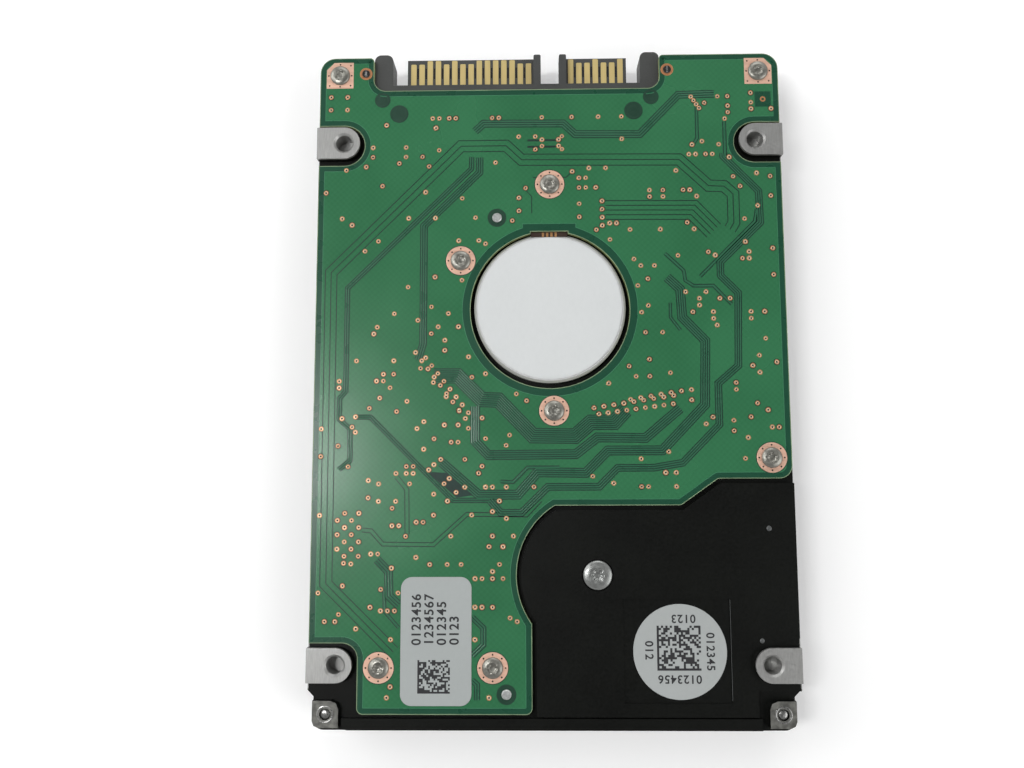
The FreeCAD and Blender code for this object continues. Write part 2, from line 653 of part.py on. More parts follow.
def draw_boss_cap(sketch, radius, top):
    """The circle round the pivot, from a level top edge down to the board's end line."""
    low = "pivot_y - 6.8"
    right = "board_right_end_x + 8.0"
    start_x = f"pivot_x - sqrt(({radius})^2 - (({top}) - pivot_y)^2)"
    end_x = f"pivot_x - sqrt(({radius})^2 - 6.8^2)"
    corners = [FreeCAD.Vector(number(x), number(y), 0)
               for x, y in ((start_x, top), (end_x, low), (right, low), (right, top))]
    middle = FreeCAD.Vector(number(f"pivot_x - ({radius})"), number("pivot_y"), 0)
    sketch.addGeometry(Part.Arc(corners[0], middle, corners[1]), False)
    for index in (1, 2, 3):
        following = corners[(index + 1) % 4]
        sketch.addGeometry(Part.LineSegment(corners[index], following), False)
    # an arc runs anticlockwise, so it starts at the upper end
    for first, first_end, second, second_end in ((0, 2, 1, 1), (1, 2, 2, 1), (2, 2, 3, 1), (3, 2, 0, 1)):
        sketch.addConstraint(Sketcher.Constraint("Coincident", first, first_end, second, second_end))
    hold(sketch, "DistanceX", 0, 3, "pivot_x")
    hold(sketch, "DistanceY", 0, 3, "pivot_y")
    hold(sketch, "Radius", 0, 0, radius)
    hold(sketch, "DistanceX", 2, 1, right)
    hold(sketch, "DistanceX", 2, 2, right)
    hold(sketch, "DistanceY", 2, 1, low)
    hold(sketch, "DistanceY", 2, 2, top)
    hold(sketch, "DistanceY", 3, 2, top)
    hold(sketch, "DistanceY", 1, 1, low)


def make_board_hardware():
    screw = turned("board_screw", [("0", "board_high + 0.12"), ("0.72", "board_high + 0.12"),
                                   ("0.72", "board_high + 0.46"), ("1.2", "board_high + 0.46"),
                                   ("1.5", "board_high + 0.3"), ("1.5", "board_high"),
                                   ("0.75", "board_high"), ("0.75", "board_low - 0.9"),
                                   ("0", "board_low - 0.9")])
    group("board_screws", [(screw, x, y) for x, y in BOARD_SCREWS])
    pin = turned("locating_pin", [("0", "board_low - 0.95"), ("0.7", "board_low - 0.95"),
                                  ("0.7", "board_high + 0.1"), ("0.55", "board_high + 0.25"),
                                  ("0", "board_high + 0.25")])
    group("locating_pins", [(pin, x, y) for x, y in LOCATING_PINS])
    stack = ("board_low - 0.72", "board_low")
    finish(block("controller_chip", "-16.0", "-34.5", "-8.0", "-26.5", *stack))
    finish(block("memory_chip", "14.0", "-7.5", "24.0", "-2.0", *stack))
    finish(block("motor_driver_chip", "14.0", "23.0", "20.0", "29.0", *stack))
    finish(block("crystal_oscillator", "-16.5", "-24.0", "-14.0", "-22.0", *stack))
    body = new_body("board_capacitor")
    sketch = new_sketch(body, height="board_low - 0.5")
    draw_box(sketch, "-0.5", "-0.25", "0.5", "0.25")
    raise_pad(body, sketch, "0.5")
    places = [(column * 2.0 - 24.0, 34.0 + line * 1.5) for line in range(2) for column in range(5)]
    group("board_capacitors", [(body, x, y) for x, y in places])


# ---------------------------------------------------------------- connector

def make_connector():
    body = new_body("connector_housing")
    sketch = new_sketch(body, height="5.0")
    draw_box(sketch, "slot_left_x - 2.6", "connector_back_y",
             "slot_right_x + 2.5", "connector_front_y")
    raise_pad(body, sketch, "board_low - 5.0 - 0.05")
    for low_x, high_x in (("slot_left_x - 2.6", "slot_left_x - 0.15"),
                          ("slot_right_x + 0.2", "slot_right_x + 2.5")):
        sketch = new_sketch(body, height="5.0")
        draw_box(sketch, low_x, "connector_front_y - 0.5", high_x, "board_end_y - 0.3")
        raise_pad(body, sketch, "board_low - 5.0 - 0.05")
    # guide posts at the two ends
    posts = (("post_left_x", "post_left_x + post_width", 1.0),
             ("post_right_x - post_width - 0.05", "post_right_x", 0.9))
    for low_x, high_x, radius in posts:
        sketch = new_sketch(body, height="4.1")
        draw_box(sketch, low_x, "case_slot_y", high_x, "body_length / 2")
        raise_pad(body, sketch, "board_low - 4.1 - 0.1")
        round_corners(body, [(low_x, "body_length / 2"), (high_x, "body_length / 2")], radius)
        sketch = new_sketch(body, height="5.0")
        draw_box(sketch, low_x, "connector_front_y - 0.1", high_x, "case_slot_y + 0.1")
        raise_pad(body, sketch, "board_low - 5.0 - 0.1")
    # blades with their L keys
    blades = (("power_left_x", "power_right_x", "power_right_x - key_width", "power_right_x"),
              ("signal_left_x", "signal_right_x", "signal_left_x", "signal_left_x + key_width"))
    for low_x, high_x, key_low, key_high in blades:
        sketch = new_sketch(body, height="tongue_low")
        draw_box(sketch, low_x, "connector_front_y - 0.4", high_x, "tongue_tip_y")
        raise_pad(body, sketch, "tongue_high - tongue_low")
        sketch = new_sketch(body, height="tongue_low")
        draw_box(sketch, key_low, "connector_front_y - 0.4", key_high, "tongue_tip_y + 0.1")
        raise_pad(body, sketch, "key_high - tongue_low")
        round_corners(body, [(key_low, "tongue_tip_y + 0.1"), (key_high, "tongue_tip_y + 0.1")], "0.25")
    # feet under the board, each with a peg through it
    for x, y, radius in CONNECTOR_PEGS:
        sketch = new_sketch(body, height="floor_outside + 0.1")
        draw_box(sketch, f"{x} - 1.3", y, f"{x} + 1.3", "connector_back_y + 0.2")
        raise_pad(body, sketch, "board_low - floor_outside - 0.15")
        sketch = new_sketch(body, height="floor_outside + 0.1")
        draw_circle(sketch, x, y, "1.3")
        raise_pad(body, sketch, "board_low - floor_outside - 0.15")
        sketch = new_sketch(body, height="board_low - 0.2")
        draw_circle(sketch, x, y, f"{radius} * 0.6")
        raise_pad(body, sketch, "0.6")
    finish(body)

    def contact(name, tip_y):
        piece = new_body(name)
        outline = new_sketch(piece, height="tongue_high")
        draw_box(outline, "-contact_width / 2", "contact_root_y",
                 "contact_width / 2", tip_y)
        raise_pad(piece, outline, "contact_gauge")
        round_corners(piece, [("-contact_width / 2", tip_y), ("contact_width / 2", tip_y)], "0.15")
        return piece

    long_contact = contact("long_contact", "tongue_tip_y - 0.12")
    short_contact = contact("short_contact", "tongue_tip_y - 0.68")
    rows = (("power_contacts", "first_power_x", POWER_CONTACTS),
            ("signal_contacts", "first_signal_x", SIGNAL_CONTACTS))
    for name, first_x, lengths in rows:
        copies = [(long_contact if is_long else short_contact,
                   f"{first_x} + {index} * contact_pitch", "0")
                  for index, is_long in enumerate(lengths)]
        group(name, copies)
    tab = turned("hold_down", tube_profile("0", "0.6", "board_low", "board_high + 0.12"))
    group("connector_hold_downs", [(tab, x, y) for x, y in HOLD_DOWNS])


# ---------------------------------------------------------------- motor and discs

def make_spindle():
    """The hub turns with its shaft inside the fixed sleeve and stator."""
    axis = ("0", "spindle_y")
    finish(turned("motor_bracket", [
        ("0", "8.25"), ("3.2", "8.25"), ("3.2", "5.4"), ("3.9", "5.4"), ("3.9", "6.95"),
        ("motor_bore - 0.05", "6.95"), ("motor_bore - 0.05", "floor_outside"),
        ("motor_disc", "floor_outside"), ("motor_disc", "island_top - 0.35"),
        ("motor_disc - 0.35", "island_top"), ("0", "island_top")], *axis))
    finish(turned("motor_seal_label", [("0", "island_top"), ("10.6", "island_top"),
                                       ("10.6", "island_top + 0.06"), ("0", "island_top + 0.06")], *axis))
    finish(turned("bearing_sleeve", [
        ("spindle_shaft + shaft_play", "3.0"), ("3.2", "3.0"), ("3.2", "8.25"), ("0", "8.25"),
        ("0", "7.9"), ("spindle_shaft + shaft_play", "7.9")], *axis))
    finish(turned("spindle_hub", [
        ("spindle_shaft", "1.75"), ("9.0", "1.75"), ("hub_barrel", "1.95"),
        ("hub_barrel", "rim_low + 2 * disc_gauge + disc_gap"),
        ("hub_flange", "rim_low + 2 * disc_gauge + disc_gap"), ("hub_flange", "5.6"),
        ("9.9", "5.75"), ("9.9", "6.6"), ("9.0", "6.6"), ("9.0", "2.7"), ("spindle_shaft", "2.7")],
        *axis))
    finish(turned("spindle_motor_shaft", [("0.5", "1.75"), ("spindle_shaft", "1.75"),
                                          ("spindle_shaft", "7.75"), ("0", "7.75"), ("0", "2.9"),
                                          ("0.5", "2.9")], *axis))
    finish(turned("rotor_magnet", tube_profile("8.15", "9.0", "3.1", "6.5"), *axis))

    # nine-toothed stator with a winding round each tooth
    ring = sector("stator_ring", "3.9", "4.9", "5.5", "6.5", "0", "360")
    teeth = []
    for index in range(9):
        tooth = doc.addObject("Part::Box", f"stator_tooth_{index}")
        tooth.setExpression("Length", "3.0")
        tooth.setExpression("Width", "0.9")
        tooth.setExpression("Height", "1.0")
        turn = FreeCAD.Rotation(FreeCAD.Vector(0, 0, 1), 40 * index)
        tooth.Placement = FreeCAD.Placement(turn.multVec(FreeCAD.Vector(4.7, -0.45, 5.5)), turn)
        teeth.append(tooth)
    stator = fuse("stator_core", [ring] + teeth)
    place(stator, *axis)
    finish(stator)
    windings = []
    for index in range(9):
        turn = FreeCAD.Rotation(FreeCAD.Vector(0, 0, 1), 40 * index)
        outer = doc.addObject("Part::Box", f"winding_outer_{index}")
        outer.Length, outer.Width, outer.Height = 1.7, 1.7, 1.8
        outer.Placement = FreeCAD.Placement(turn.multVec(FreeCAD.Vector(5.6, -0.85, 5.1)), turn)
        inner = doc.addObject("Part::Box", f"winding_inner_{index}")
        inner.Length, inner.Width, inner.Height = 3.0, 0.9, 1.0
        inner.Placement = FreeCAD.Placement(turn.multVec(FreeCAD.Vector(5.0, -0.45, 5.5)), turn)
        windings.append(cut(f"winding_{index}", outer, inner))
    coils = doc.addObject("Part::Compound", "stator_windings")
    coils.Label = "stator_windings"
    coils.Links = windings
    place(coils, *axis)
    finish(coils)

    first = "rim_low"
    second = "rim_low + disc_gauge + disc_gap"
    finish(turned("platter_cover_side", tube_profile("disc_inner", "disc_outer", first,
                                                     f"{first} + disc_gauge"), *axis))
    finish(turned("platter_board_side", tube_profile("disc_inner", "disc_outer", second,
                                                     f"{second} + disc_gauge"), *axis))
    finish(turned("platter_spacer", tube_profile("disc_inner", "12.2", f"{first} + disc_gauge", second),
                  *axis))
    finish(turned("disc_clamp", [("0.95", "1.35"), ("10.6", "1.35"), ("12.0", "1.55"), ("12.0", first),
                                 ("10.9", first), ("10.3", "1.75"), ("0.95", "1.75")], *axis))
    finish(turned("clamp_screw", [("0", "1.1"), ("0.7", "1.1"), ("0.7", "0.8"), ("2.2", "0.8"),
                                  ("2.4", "1.0"), ("2.4", "1.35"), ("0.5", "1.35"), ("0.5", "2.8"),
                                  ("0", "2.8")], *axis))


# ---------------------------------------------------------------- actuator

def at_pivot(item, angle="parked_angle"):
    place(item, "pivot_x", "pivot_y", angle)
    return item


def make_pivot():
    axis = ("pivot_x", "pivot_y")
    finish(turned("pivot_shaft", [
        ("0.75", "flange_low"), ("1.9", "flange_low"), ("1.9", "1.2"), ("1.5", "1.2"), ("1.5", "5.9"),
        ("1.9", "5.9"), ("1.9", "floor_inside"), ("0.7", "floor_inside"), ("0.7", "3.6"), ("0", "3.6"),
        ("0", "2.5"), ("0.75", "2.5")], *axis))
    finish(turned("pivot_screw", [
        ("0", "island_top - 0.15"), ("0.85", "island_top - 0.15"), ("0.85", "island_top + 0.2"),
        ("1.75", "island_top + 0.2"), ("2.1", "island_top"), ("2.1", "island_top - 0.55"),
        ("1.2", "island_top - 0.55"), ("1.2", "6.5"), ("0.65", "6.5"), ("0.65", "4.0"),
        ("0", "4.0")], *axis))
    race = turned("pivot_inner_race", tube_profile("1.5", "2.0", "0", "1.3"))
    group("pivot_inner_races", [(race, *axis, "1.25"), (race, *axis, "4.5")])
    race = turned("pivot_outer_race", tube_profile("2.9", "3.4", "0", "1.3"))
    group("pivot_outer_races", [(race, *axis, "1.25"), (race, *axis, "4.5")])
    balls = []
    for level in (1.9, 5.15):
        for index in range(10):
            ball = doc.addObject("Part::Sphere", f"ball_{len(balls)}")
            ball.Radius = 0.4
            turn = FreeCAD.Rotation(FreeCAD.Vector(0, 0, 1), 36 * index)
            ball.Placement.Base = turn.multVec(FreeCAD.Vector(2.45, 0, level))
            balls.append(ball)
    cage = doc.addObject("Part::Compound", "pivot_balls")
    cage.Label = "pivot_balls"
    cage.Links = balls
    place(cage, *axis)
    finish(cage)
    finish(turned("pivot_sleeve", tube_profile("3.4", "4.1", "block_low", "block_high"), *axis))


def make_arm():
    """Three tapered arms on one hub; local +X points at the heads."""
    body = new_body("actuator_arm")
    sketch = new_sketch(body, height="block_low")
    draw_circle(sketch, "0", "0", "hub_round")
    raise_pad(body, sketch, "block_high - block_low")
    for low, thickness in (("block_low", "0.4"), ("2.95", "0.75"), ("5.35", "0.65")):
        sketch = new_sketch(body, height=low)
        draw_outline(sketch, [("3.0", "-5.0"), ("11.0", "-3.4"), ("arm_reach", "-1.9"),
                              ("arm_reach", "1.9"), ("11.0", "3.4"), ("3.0", "5.0")])
        raise_pad(body, sketch, thickness)
    sketch = new_sketch(body, height="block_low")
    draw_circle(sketch, "0", "0", "4.1")
    draw_circle(sketch, "arm_reach - 3.0", "0", "1.0")
    draw_circle(sketch, "11.5", "0", "1.5")
    cut_pocket(body, sketch, "drive_height")
    finish(at_pivot(body))


def make_heads():
    """Four suspensions and sliders, two facing each disc."""
    blade = new_body("suspension_blade")
    sketch = new_sketch(blade)
    draw_outline(sketch, [("arm_reach - 4.6", "-1.8"), ("arm_reach + 0.5", "-1.8"),
                          ("head_reach - 1.0", "-0.55"), ("head_reach + 1.6", "-0.25"),
                          ("head_reach + 1.6", "0.25"), ("head_reach - 1.0", "0.55"),
                          ("arm_reach + 0.5", "1.8"), ("arm_reach - 4.6", "1.8")])
    draw_circle(sketch, "arm_reach - 3.0", "0", "0.9")
    raise_pad(blade, sketch, "0.12")
    slider = new_body("slider_block")
    sketch = new_sketch(slider)
    draw_box(sketch, "head_reach - 0.62", "-0.5", "head_reach + 0.62", "0.5")
    raise_pad(slider, sketch, "0.24")
    blades = []
    sliders = []
    for level, slider_level in (("1.35", "1.47"), ("2.83", "2.59"), ("3.7", "3.82"), ("5.23", "4.99")):
        blades.append((blade, "0", "0", level))
        sliders.append((slider, "0", "0", slider_level))
    for name, copies in (("head_suspensions", blades), ("head_sliders", sliders)):
        item = group(name, copies)
        at_pivot(item)


def make_coil():
    half = "coil_half_angle"
    span = ("coil_low", "coil_high")
    outside = sector("coil_outside", "coil_inner", "coil_outer", *span, f"180 - {half}", f"2 * {half}")
    window = sector("coil_window", "coil_inner + 2.4", "coil_outer - 2.4", *span,
                    f"180 - {half} + 8", f"2 * {half} - 16")
    finish(at_pivot(cut("voice_coil", outside, window), "parked_angle"))
    frame = sector("overmould_outside", "hub_round", "coil_outer + 1.0", *span,
                   f"180 - {half} - 3", f"2 * {half} + 6")
    hole = sector("overmould_hole", "coil_inner", "coil_outer", *span, f"180 - {half}", f"2 * {half}")
    finish(at_pivot(cut("coil_overmould", frame, hole)))
    chip = block("preamp_chip", "-1.2", "hub_round", "1.2", "hub_round + 0.5", "4.4", "5.7")
    finish(at_pivot(chip))


def make_voice_coil_motor():
    """Two steel yokes with a magnet each, held apart by posts."""
    posts = ("312", "345")
    levels = (("lower_yoke", "0.65", "1.45"), ("upper_yoke", "6.1", "7.0"))
    for name, low, high in levels:
        body = sector(name + "_sector", "yoke_inner", "yoke_outer", low, high,
                      "yoke_start_angle", "yoke_sweep")
        pieces = [body]
        for index, angle in enumerate(posts):
            x = f"fixing_radius * cos({angle} * 1deg)"
            y = f"fixing_radius * sin({angle} * 1deg)"
            pieces.append(cylinder(f"{name}_ear_{index}", "1.7", low, high, x, y))
        yoke = fuse(name, pieces)
        place(yoke, "pivot_x", "pivot_y")
        finish(yoke)
    for name, low, high in (("lower_magnet", "1.45", "2.2"), ("upper_magnet", "4.5", "6.1")):
        magnet = sector(name, "yoke_inner + 1.4", "yoke_outer - 0.6", low, high,
                        "yoke_start_angle + 3", "yoke_sweep - 6")
        place(magnet, "pivot_x", "pivot_y")
        finish(magnet)
    post = turned("yoke_post", tube_profile("0", "0.8", "1.45", "6.1"))
    copies = []
    for angle in posts:
        copies.append((post, f"pivot_x + fixing_radius * cos({angle} * 1deg)",
                       f"pivot_y + fixing_radius * sin({angle} * 1deg)"))
    group("yoke_posts", copies)


def make_flex():
    """The ribbon runs from the arm's hub in one loop to its bracket."""
    low, high = 2.0, 4.6
    gauge = 0.12
    pivot = FreeCAD.Vector(number("pivot_x"), number("pivot_y"), low)
    points = [FreeCAD.Vector(-4.6, -4.2, 0), FreeCAD.Vector(-8.2, -6.0, 0),
              FreeCAD.Vector(-11.4, -8.4, 0), FreeCAD.Vector(-12.6, -12.3, 0)]
    sides = []
    for offset in (-gauge / 2, gauge / 2):
        moved = []
        for index, point in enumerate(points):
            before = points[max(index - 1, 0)]
            after = points[min(index + 1, len(points) - 1)]
            along = (after - before).normalize()
            moved.append(pivot + point + FreeCAD.Vector(-along.y, along.x, 0) * offset)
        curve = Part.BSplineCurve()
        curve.interpolate(moved)
        sides.append(curve)
    near, far = sides
    edges = [near.toShape(), Part.LineSegment(near.EndPoint, far.EndPoint).toShape(),
             far.toShape(), Part.LineSegment(far.StartPoint, near.StartPoint).toShape()]
    face = Part.Face(Part.Wire(Part.sortEdges(edges)[0]))
    ribbon = face.extrude(FreeCAD.Vector(0, 0, high - low))
    if ribbon.Volume < 0:
        ribbon = ribbon.reversed()
    item = doc.addObject("Part::Feature", "actuator_flex")
    item.Label = "actuator_flex"
    item.Shape = Part.Solid(ribbon.Shells[0])
    finish(item)
    finish(block("flex_bracket", "-13.0", "-45.5", "-5.2", "-41.2", "1.9", "2.5", "0.6"))
    finish(block("preamp_connector", "-12.6", "-45.1", "-6.6", "-41.6", "2.5", "6.3", "0.3"))


# ---------------------------------------------------------------- small parts inside

def make_small_parts():
    # ramp beside the discs, reached by the parked lift tabs
    body = new_body("load_ramp")
    sketch = new_sketch(body, height="1.0")
    draw_outline(sketch, [("head_reach + 2.1", "-0.8"), ("head_reach + 5.2", "-0.4"),
                          ("head_reach + 5.2", "4.2"), ("head_reach + 2.1", "3.6")])
    raise_pad(body, sketch, "floor_inside - 1.0")
    for low, high in (("1.85", "2.4"), ("4.3", "4.82")):
        sketch = new_sketch(body, height=low)
        draw_outline(sketch, [("head_reach - 0.4", "-0.9"), ("head_reach + 2.2", "-0.7"),
                              ("head_reach + 2.2", "2.4"), ("head_reach - 0.4", "1.8")])
        raise_pad(body, sketch, f"{high} - {low}")
    sketch = new_sketch(body, height="1.0")
    draw_circle(sketch, "head_reach + 3.7", "2.0", "0.6")
    cut_pocket(body, sketch, "drive_height")
    finish(at_pivot(body))
    screw = turned("ramp_screw", [("0", "0.6"), ("1.0", "0.6"), ("1.0", "1.0"), ("0.55", "1.0"),
                                  ("0.55", "6.3"), ("0", "6.3")])
    reach = "(head_reach + 3.7)"
    screw_place = (f"pivot_x + {reach} * cos(parked_angle * 1deg) - 2.0 * sin(parked_angle * 1deg)",
                   f"pivot_y + {reach} * sin(parked_angle * 1deg) + 2.0 * cos(parked_angle * 1deg)")
    place(screw, *screw_place)
    finish(screw)

    # inertia latch on its pin, beside the parked coil
    pin = cylinder("latch_pin", "0.5", "1.8", "floor_inside + 0.65", "29.3", "-20.6")
    finish(pin)
    latch = new_body("inertia_latch")
    sketch = new_sketch(latch, height="2.6")
    draw_outline(sketch, [("-1.3", "1.6"), ("1.3", "1.6"), ("1.5", "-2.0"), ("-1.0", "-6.6"),
                          ("-2.2", "-6.0"), ("-1.3", "-2.0")])
    raise_pad(latch, sketch, "1.5")
    sketch = new_sketch(latch, height="2.6")
    draw_circle(sketch, "0", "0", "0.5 + 2 * shaft_play")
    cut_pocket(latch, sketch, "1.5")
    place(latch, "29.3", "-20.6")
    finish(latch)

    stop = turned("crash_stop", tube_profile("0", "0.9", "2.2", "island_inside"))
    group("crash_stops", [(stop, f"pivot_x + 8.9 * cos({angle} * 1deg)",
                           f"pivot_y + 8.9 * sin({angle} * 1deg)") for angle in (274.5, 2.5)])
    finish(block("recirculation_filter", "26.0", "-16.4", "32.6", "-13.2", "1.9", "6.3", "0.5"))
    finish(block("breather_filter", "-28.9", "-45.2", "-24.0", "-38.5", "0.5", "1.3", "0.6"))
    # motor ribbon: over the rim of the motor, down and under the board
    ribbon = new_body("motor_flex")
    sketch = new_sketch(ribbon, role="YZ_Plane", height="-2.75")
    draw_outline(sketch, [("21.0", "8.72"), ("21.58", "8.72"), ("21.58", "7.9"), ("25.5", "7.9"),
                          ("25.5", "8.0"), ("21.7", "8.0"), ("21.7", "8.8"), ("21.0", "8.8")])
    raise_pad(ribbon, sketch, "5.45")
    finish(ribbon)


# ---------------------------------------------------------------- build, check and write

def check_document():
    doc.recompute()
    bad = [item.Name for item in doc.Objects if {"Invalid", "Error"} & set(item.State)]
    if bad:
        raise RuntimeError(f"failed objects: {bad}")
    for item in nodes:
        shape = item.Shape
        if shape.isNull() or not shape.isValid() or not shape.Solids:
            raise RuntimeError(f"{item.Label} has no valid solid")


def write_parts():
    os.makedirs("parts", exist_ok=True)
    for item in nodes:
        item.Shape.exportStep(f"parts/{item.Label}.step")
        box = item.Shape.BoundBox
        print(f"{item.Label:22s} x {box.XMin:7.2f} {box.XMax:7.2f}  y {box.YMin:7.2f} {box.YMax:7.2f}"
              f"  z {box.ZMin:5.2f} {box.ZMax:5.2f}  solids {len(item.Shape.Solids)}")
    print(len(nodes), "sub-parts")


make_base_casting()
make_cover()
make_gasket()
make_cover_screws()
make_labels()
make_circuit_board()
make_board_hardware()
make_connector()
make_spindle()
make_pivot()
make_arm()
make_heads()
make_coil()
make_voice_coil_motor()
make_flex()
make_small_parts()
check_document()
write_parts()
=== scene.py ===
import json
import math
import random

import bpy
from mathutils import Euler, Matrix, Vector


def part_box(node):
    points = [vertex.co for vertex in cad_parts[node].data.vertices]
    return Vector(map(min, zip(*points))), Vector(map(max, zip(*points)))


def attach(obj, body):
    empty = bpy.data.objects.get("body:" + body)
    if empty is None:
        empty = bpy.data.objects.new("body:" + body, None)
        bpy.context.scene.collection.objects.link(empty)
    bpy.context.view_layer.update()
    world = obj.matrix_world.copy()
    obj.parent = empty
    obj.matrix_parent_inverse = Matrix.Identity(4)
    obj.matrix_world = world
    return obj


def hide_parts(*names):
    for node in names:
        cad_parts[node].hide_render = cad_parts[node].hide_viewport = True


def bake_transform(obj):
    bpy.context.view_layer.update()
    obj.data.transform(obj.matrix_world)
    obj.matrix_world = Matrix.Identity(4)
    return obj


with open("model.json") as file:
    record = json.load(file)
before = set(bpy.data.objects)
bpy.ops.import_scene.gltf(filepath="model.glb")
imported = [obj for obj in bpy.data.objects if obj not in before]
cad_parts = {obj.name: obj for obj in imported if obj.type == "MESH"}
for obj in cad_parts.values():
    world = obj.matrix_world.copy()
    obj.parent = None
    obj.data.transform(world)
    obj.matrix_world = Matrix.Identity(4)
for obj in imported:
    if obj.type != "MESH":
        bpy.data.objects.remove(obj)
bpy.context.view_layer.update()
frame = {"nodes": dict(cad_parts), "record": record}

MM = 0.001
rng = random.Random(7)


def top_of(name):
    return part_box(name)[1].z / MM


def under_of(name):
    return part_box(name)[0].z / MM


def joint_axis(name):
    """Where a joint's upright axis stands, as x and y in mm."""
    joint = next(j for j in frame["record"]["behaviour"]["joints"] if j["name"] == name)
    return joint["pos_m"][0] / MM, joint["pos_m"][1] / MM


def middle(name):
    """The middle of a node in x and y, and its top, in mm."""
    low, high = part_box(name)
    return (low.x + high.x) / 2 / MM, (low.y + high.y) / 2 / MM, high.z / MM


BOARD_TOP = top_of("circuit_board")
MOTOR_AXIS = joint_axis("spindle_spin")
PIVOT_AXIS = joint_axis("arm_swing")


# ---------------------------------------------------------------- materials


class Finish:
    """A node material on one Principled shader, with small helpers for its procedural detail."""

    def __init__(self, name, rough=0.5, metal=0.0, level=0.5):
        self.mat = bpy.data.materials.new(name)
        self.mat.use_nodes = True
        self.tree = self.mat.node_tree
        self.shader = self.tree.nodes["Principled BSDF"]
        self.shader.inputs["Roughness"].default_value = rough
        self.shader.inputs["Metallic"].default_value = metal
        self.shader.inputs["Specular IOR Level"].default_value = level
        self.where = self.tree.nodes.new("ShaderNodeTexCoord")
        self.last_bump = None

    def node(self, kind, **values):
        made = self.tree.nodes.new(kind)
        for key, value in values.items():
            setattr(made, key, value)
        return made

    def link(self, a, b):
        self.tree.links.new(a, b)

    def noise(self, size_mm, detail=3.0, stretch=(1, 1, 1)):
        place = self.node("ShaderNodeMapping")
        place.inputs["Scale"].default_value = [1000.0 / size_mm * s for s in stretch]
        self.link(self.where.outputs["Object"], place.inputs["Vector"])
        made = self.node("ShaderNodeTexNoise")
        made.inputs["Scale"].default_value = 1.0
        made.inputs["Detail"].default_value = detail
        self.link(place.outputs["Vector"], made.inputs["Vector"])
        return made.outputs["Fac"]

    def math(self, kind, a, b=None):
        made = self.node("ShaderNodeMath", operation=kind)
        for index, value in enumerate((a, b)):
            if isinstance(value, (int, float)):
                made.inputs[index].default_value = value
            elif value is not None:
                self.link(value, made.inputs[index])
        return made.outputs[0]

    def sum_of(self, a, share_a, b, share_b):
        return self.math("ADD", self.math("MULTIPLY", a, share_a), self.math("MULTIPLY", b, share_b))

    def squares(self, x, y):
        return self.math("ADD", self.math("MULTIPLY", x, x), self.math("MULTIPLY", y, y))

    def wave(self, value, pitch_mm):
        return self.math("SINE", self.math("MULTIPLY", value, 2 * math.pi / (pitch_mm * MM)))

    def axis(self, which, source="Object"):
        split = self.node("ShaderNodeSeparateXYZ")
        self.link(self.where.outputs[source], split.inputs[0])
        return split.outputs[which]

    def spread(self, value, low, high, to_low=0.0, to_high=1.0):
        made = self.node("ShaderNodeMapRange")
        made.inputs["From Min"].default_value = low
        made.inputs["From Max"].default_value = high
        made.inputs["To Min"].default_value = to_low
        made.inputs["To Max"].default_value = to_high
        self.link(value, made.inputs["Value"])
        return made.outputs["Result"]

    def mix(self, share, a, b):
        made = self.node("ShaderNodeMix", data_type="RGBA")
        for index, value in ((6, a), (7, b)):
            if isinstance(value, tuple):
                made.inputs[index].default_value = (*value, 1.0)
            else:
                self.link(value, made.inputs[index])
        self.link(share, made.inputs[0])
        return made.outputs[2]

    def colour(self, socket):
        self.link(socket, self.shader.inputs["Base Color"])

    def tint(self, share, colour, low, high):
        """The base colour, from one shade of a colour to another."""
        self.colour(self.mix(share, shade(colour, low), shade(colour, high)))

    def rough(self, noise, low, high):
        self.link(self.spread(noise, 0.3, 0.7, low, high), self.shader.inputs["Roughness"])

    def metal(self, socket):
        self.link(socket, self.shader.inputs["Metallic"])

    def bump(self, height, depth_mm):
        made = self.node("ShaderNodeBump")
        made.inputs["Strength"].default_value = 1.0
        made.inputs["Distance"].default_value = depth_mm * MM
        self.link(height, made.inputs["Height"])
        if self.last_bump:
            self.link(self.last_bump, made.inputs["Normal"])
        self.last_bump = made.outputs["Normal"]
        self.link(self.last_bump, self.shader.inputs["Normal"])


def shade(colour, factor):
    return tuple(min(1.0, c * factor) for c in colour)


def grained(name, colour, rough=0.5, metal=0.0, grain=0.4, patch=6.0, depth=0.01, vary=0.2):
    """A cast, moulded or painted surface: broad patches and fine grain, in colour, roughness and relief."""
    made = Finish(name, rough, metal)
    broad = made.noise(patch, 4.0)
    fine = made.noise(grain, 2.0)
    share = made.spread(made.sum_of(broad, 0.6, fine, 0.4), 0.3, 0.7)
    made.tint(share, colour, 1 - vary, 1 + vary)
    made.rough(fine, rough * 0.85, min(1.0, rough * 1.15))
    made.bump(fine, depth)
    return made.mat


def brushed(name, colour, rough=0.3, metal=1.0, along=(0.02, 1, 1), grain=0.12, depth=0.003, vary=0.12):
    """Metal with fine lines along one direction."""
    made = Finish(name, rough, metal)
    lines = made.noise(grain, 3.0, along)
    broad = made.noise(9.0, 3.0)
    share = made.spread(made.sum_of(lines, 0.6, broad, 0.4), 0.3, 0.7)
    made.tint(share, colour, 1 - vary, 1 + vary)
    made.rough(lines, rough * 0.8, rough * 1.25)
    made.bump(lines, depth)
    return made.mat


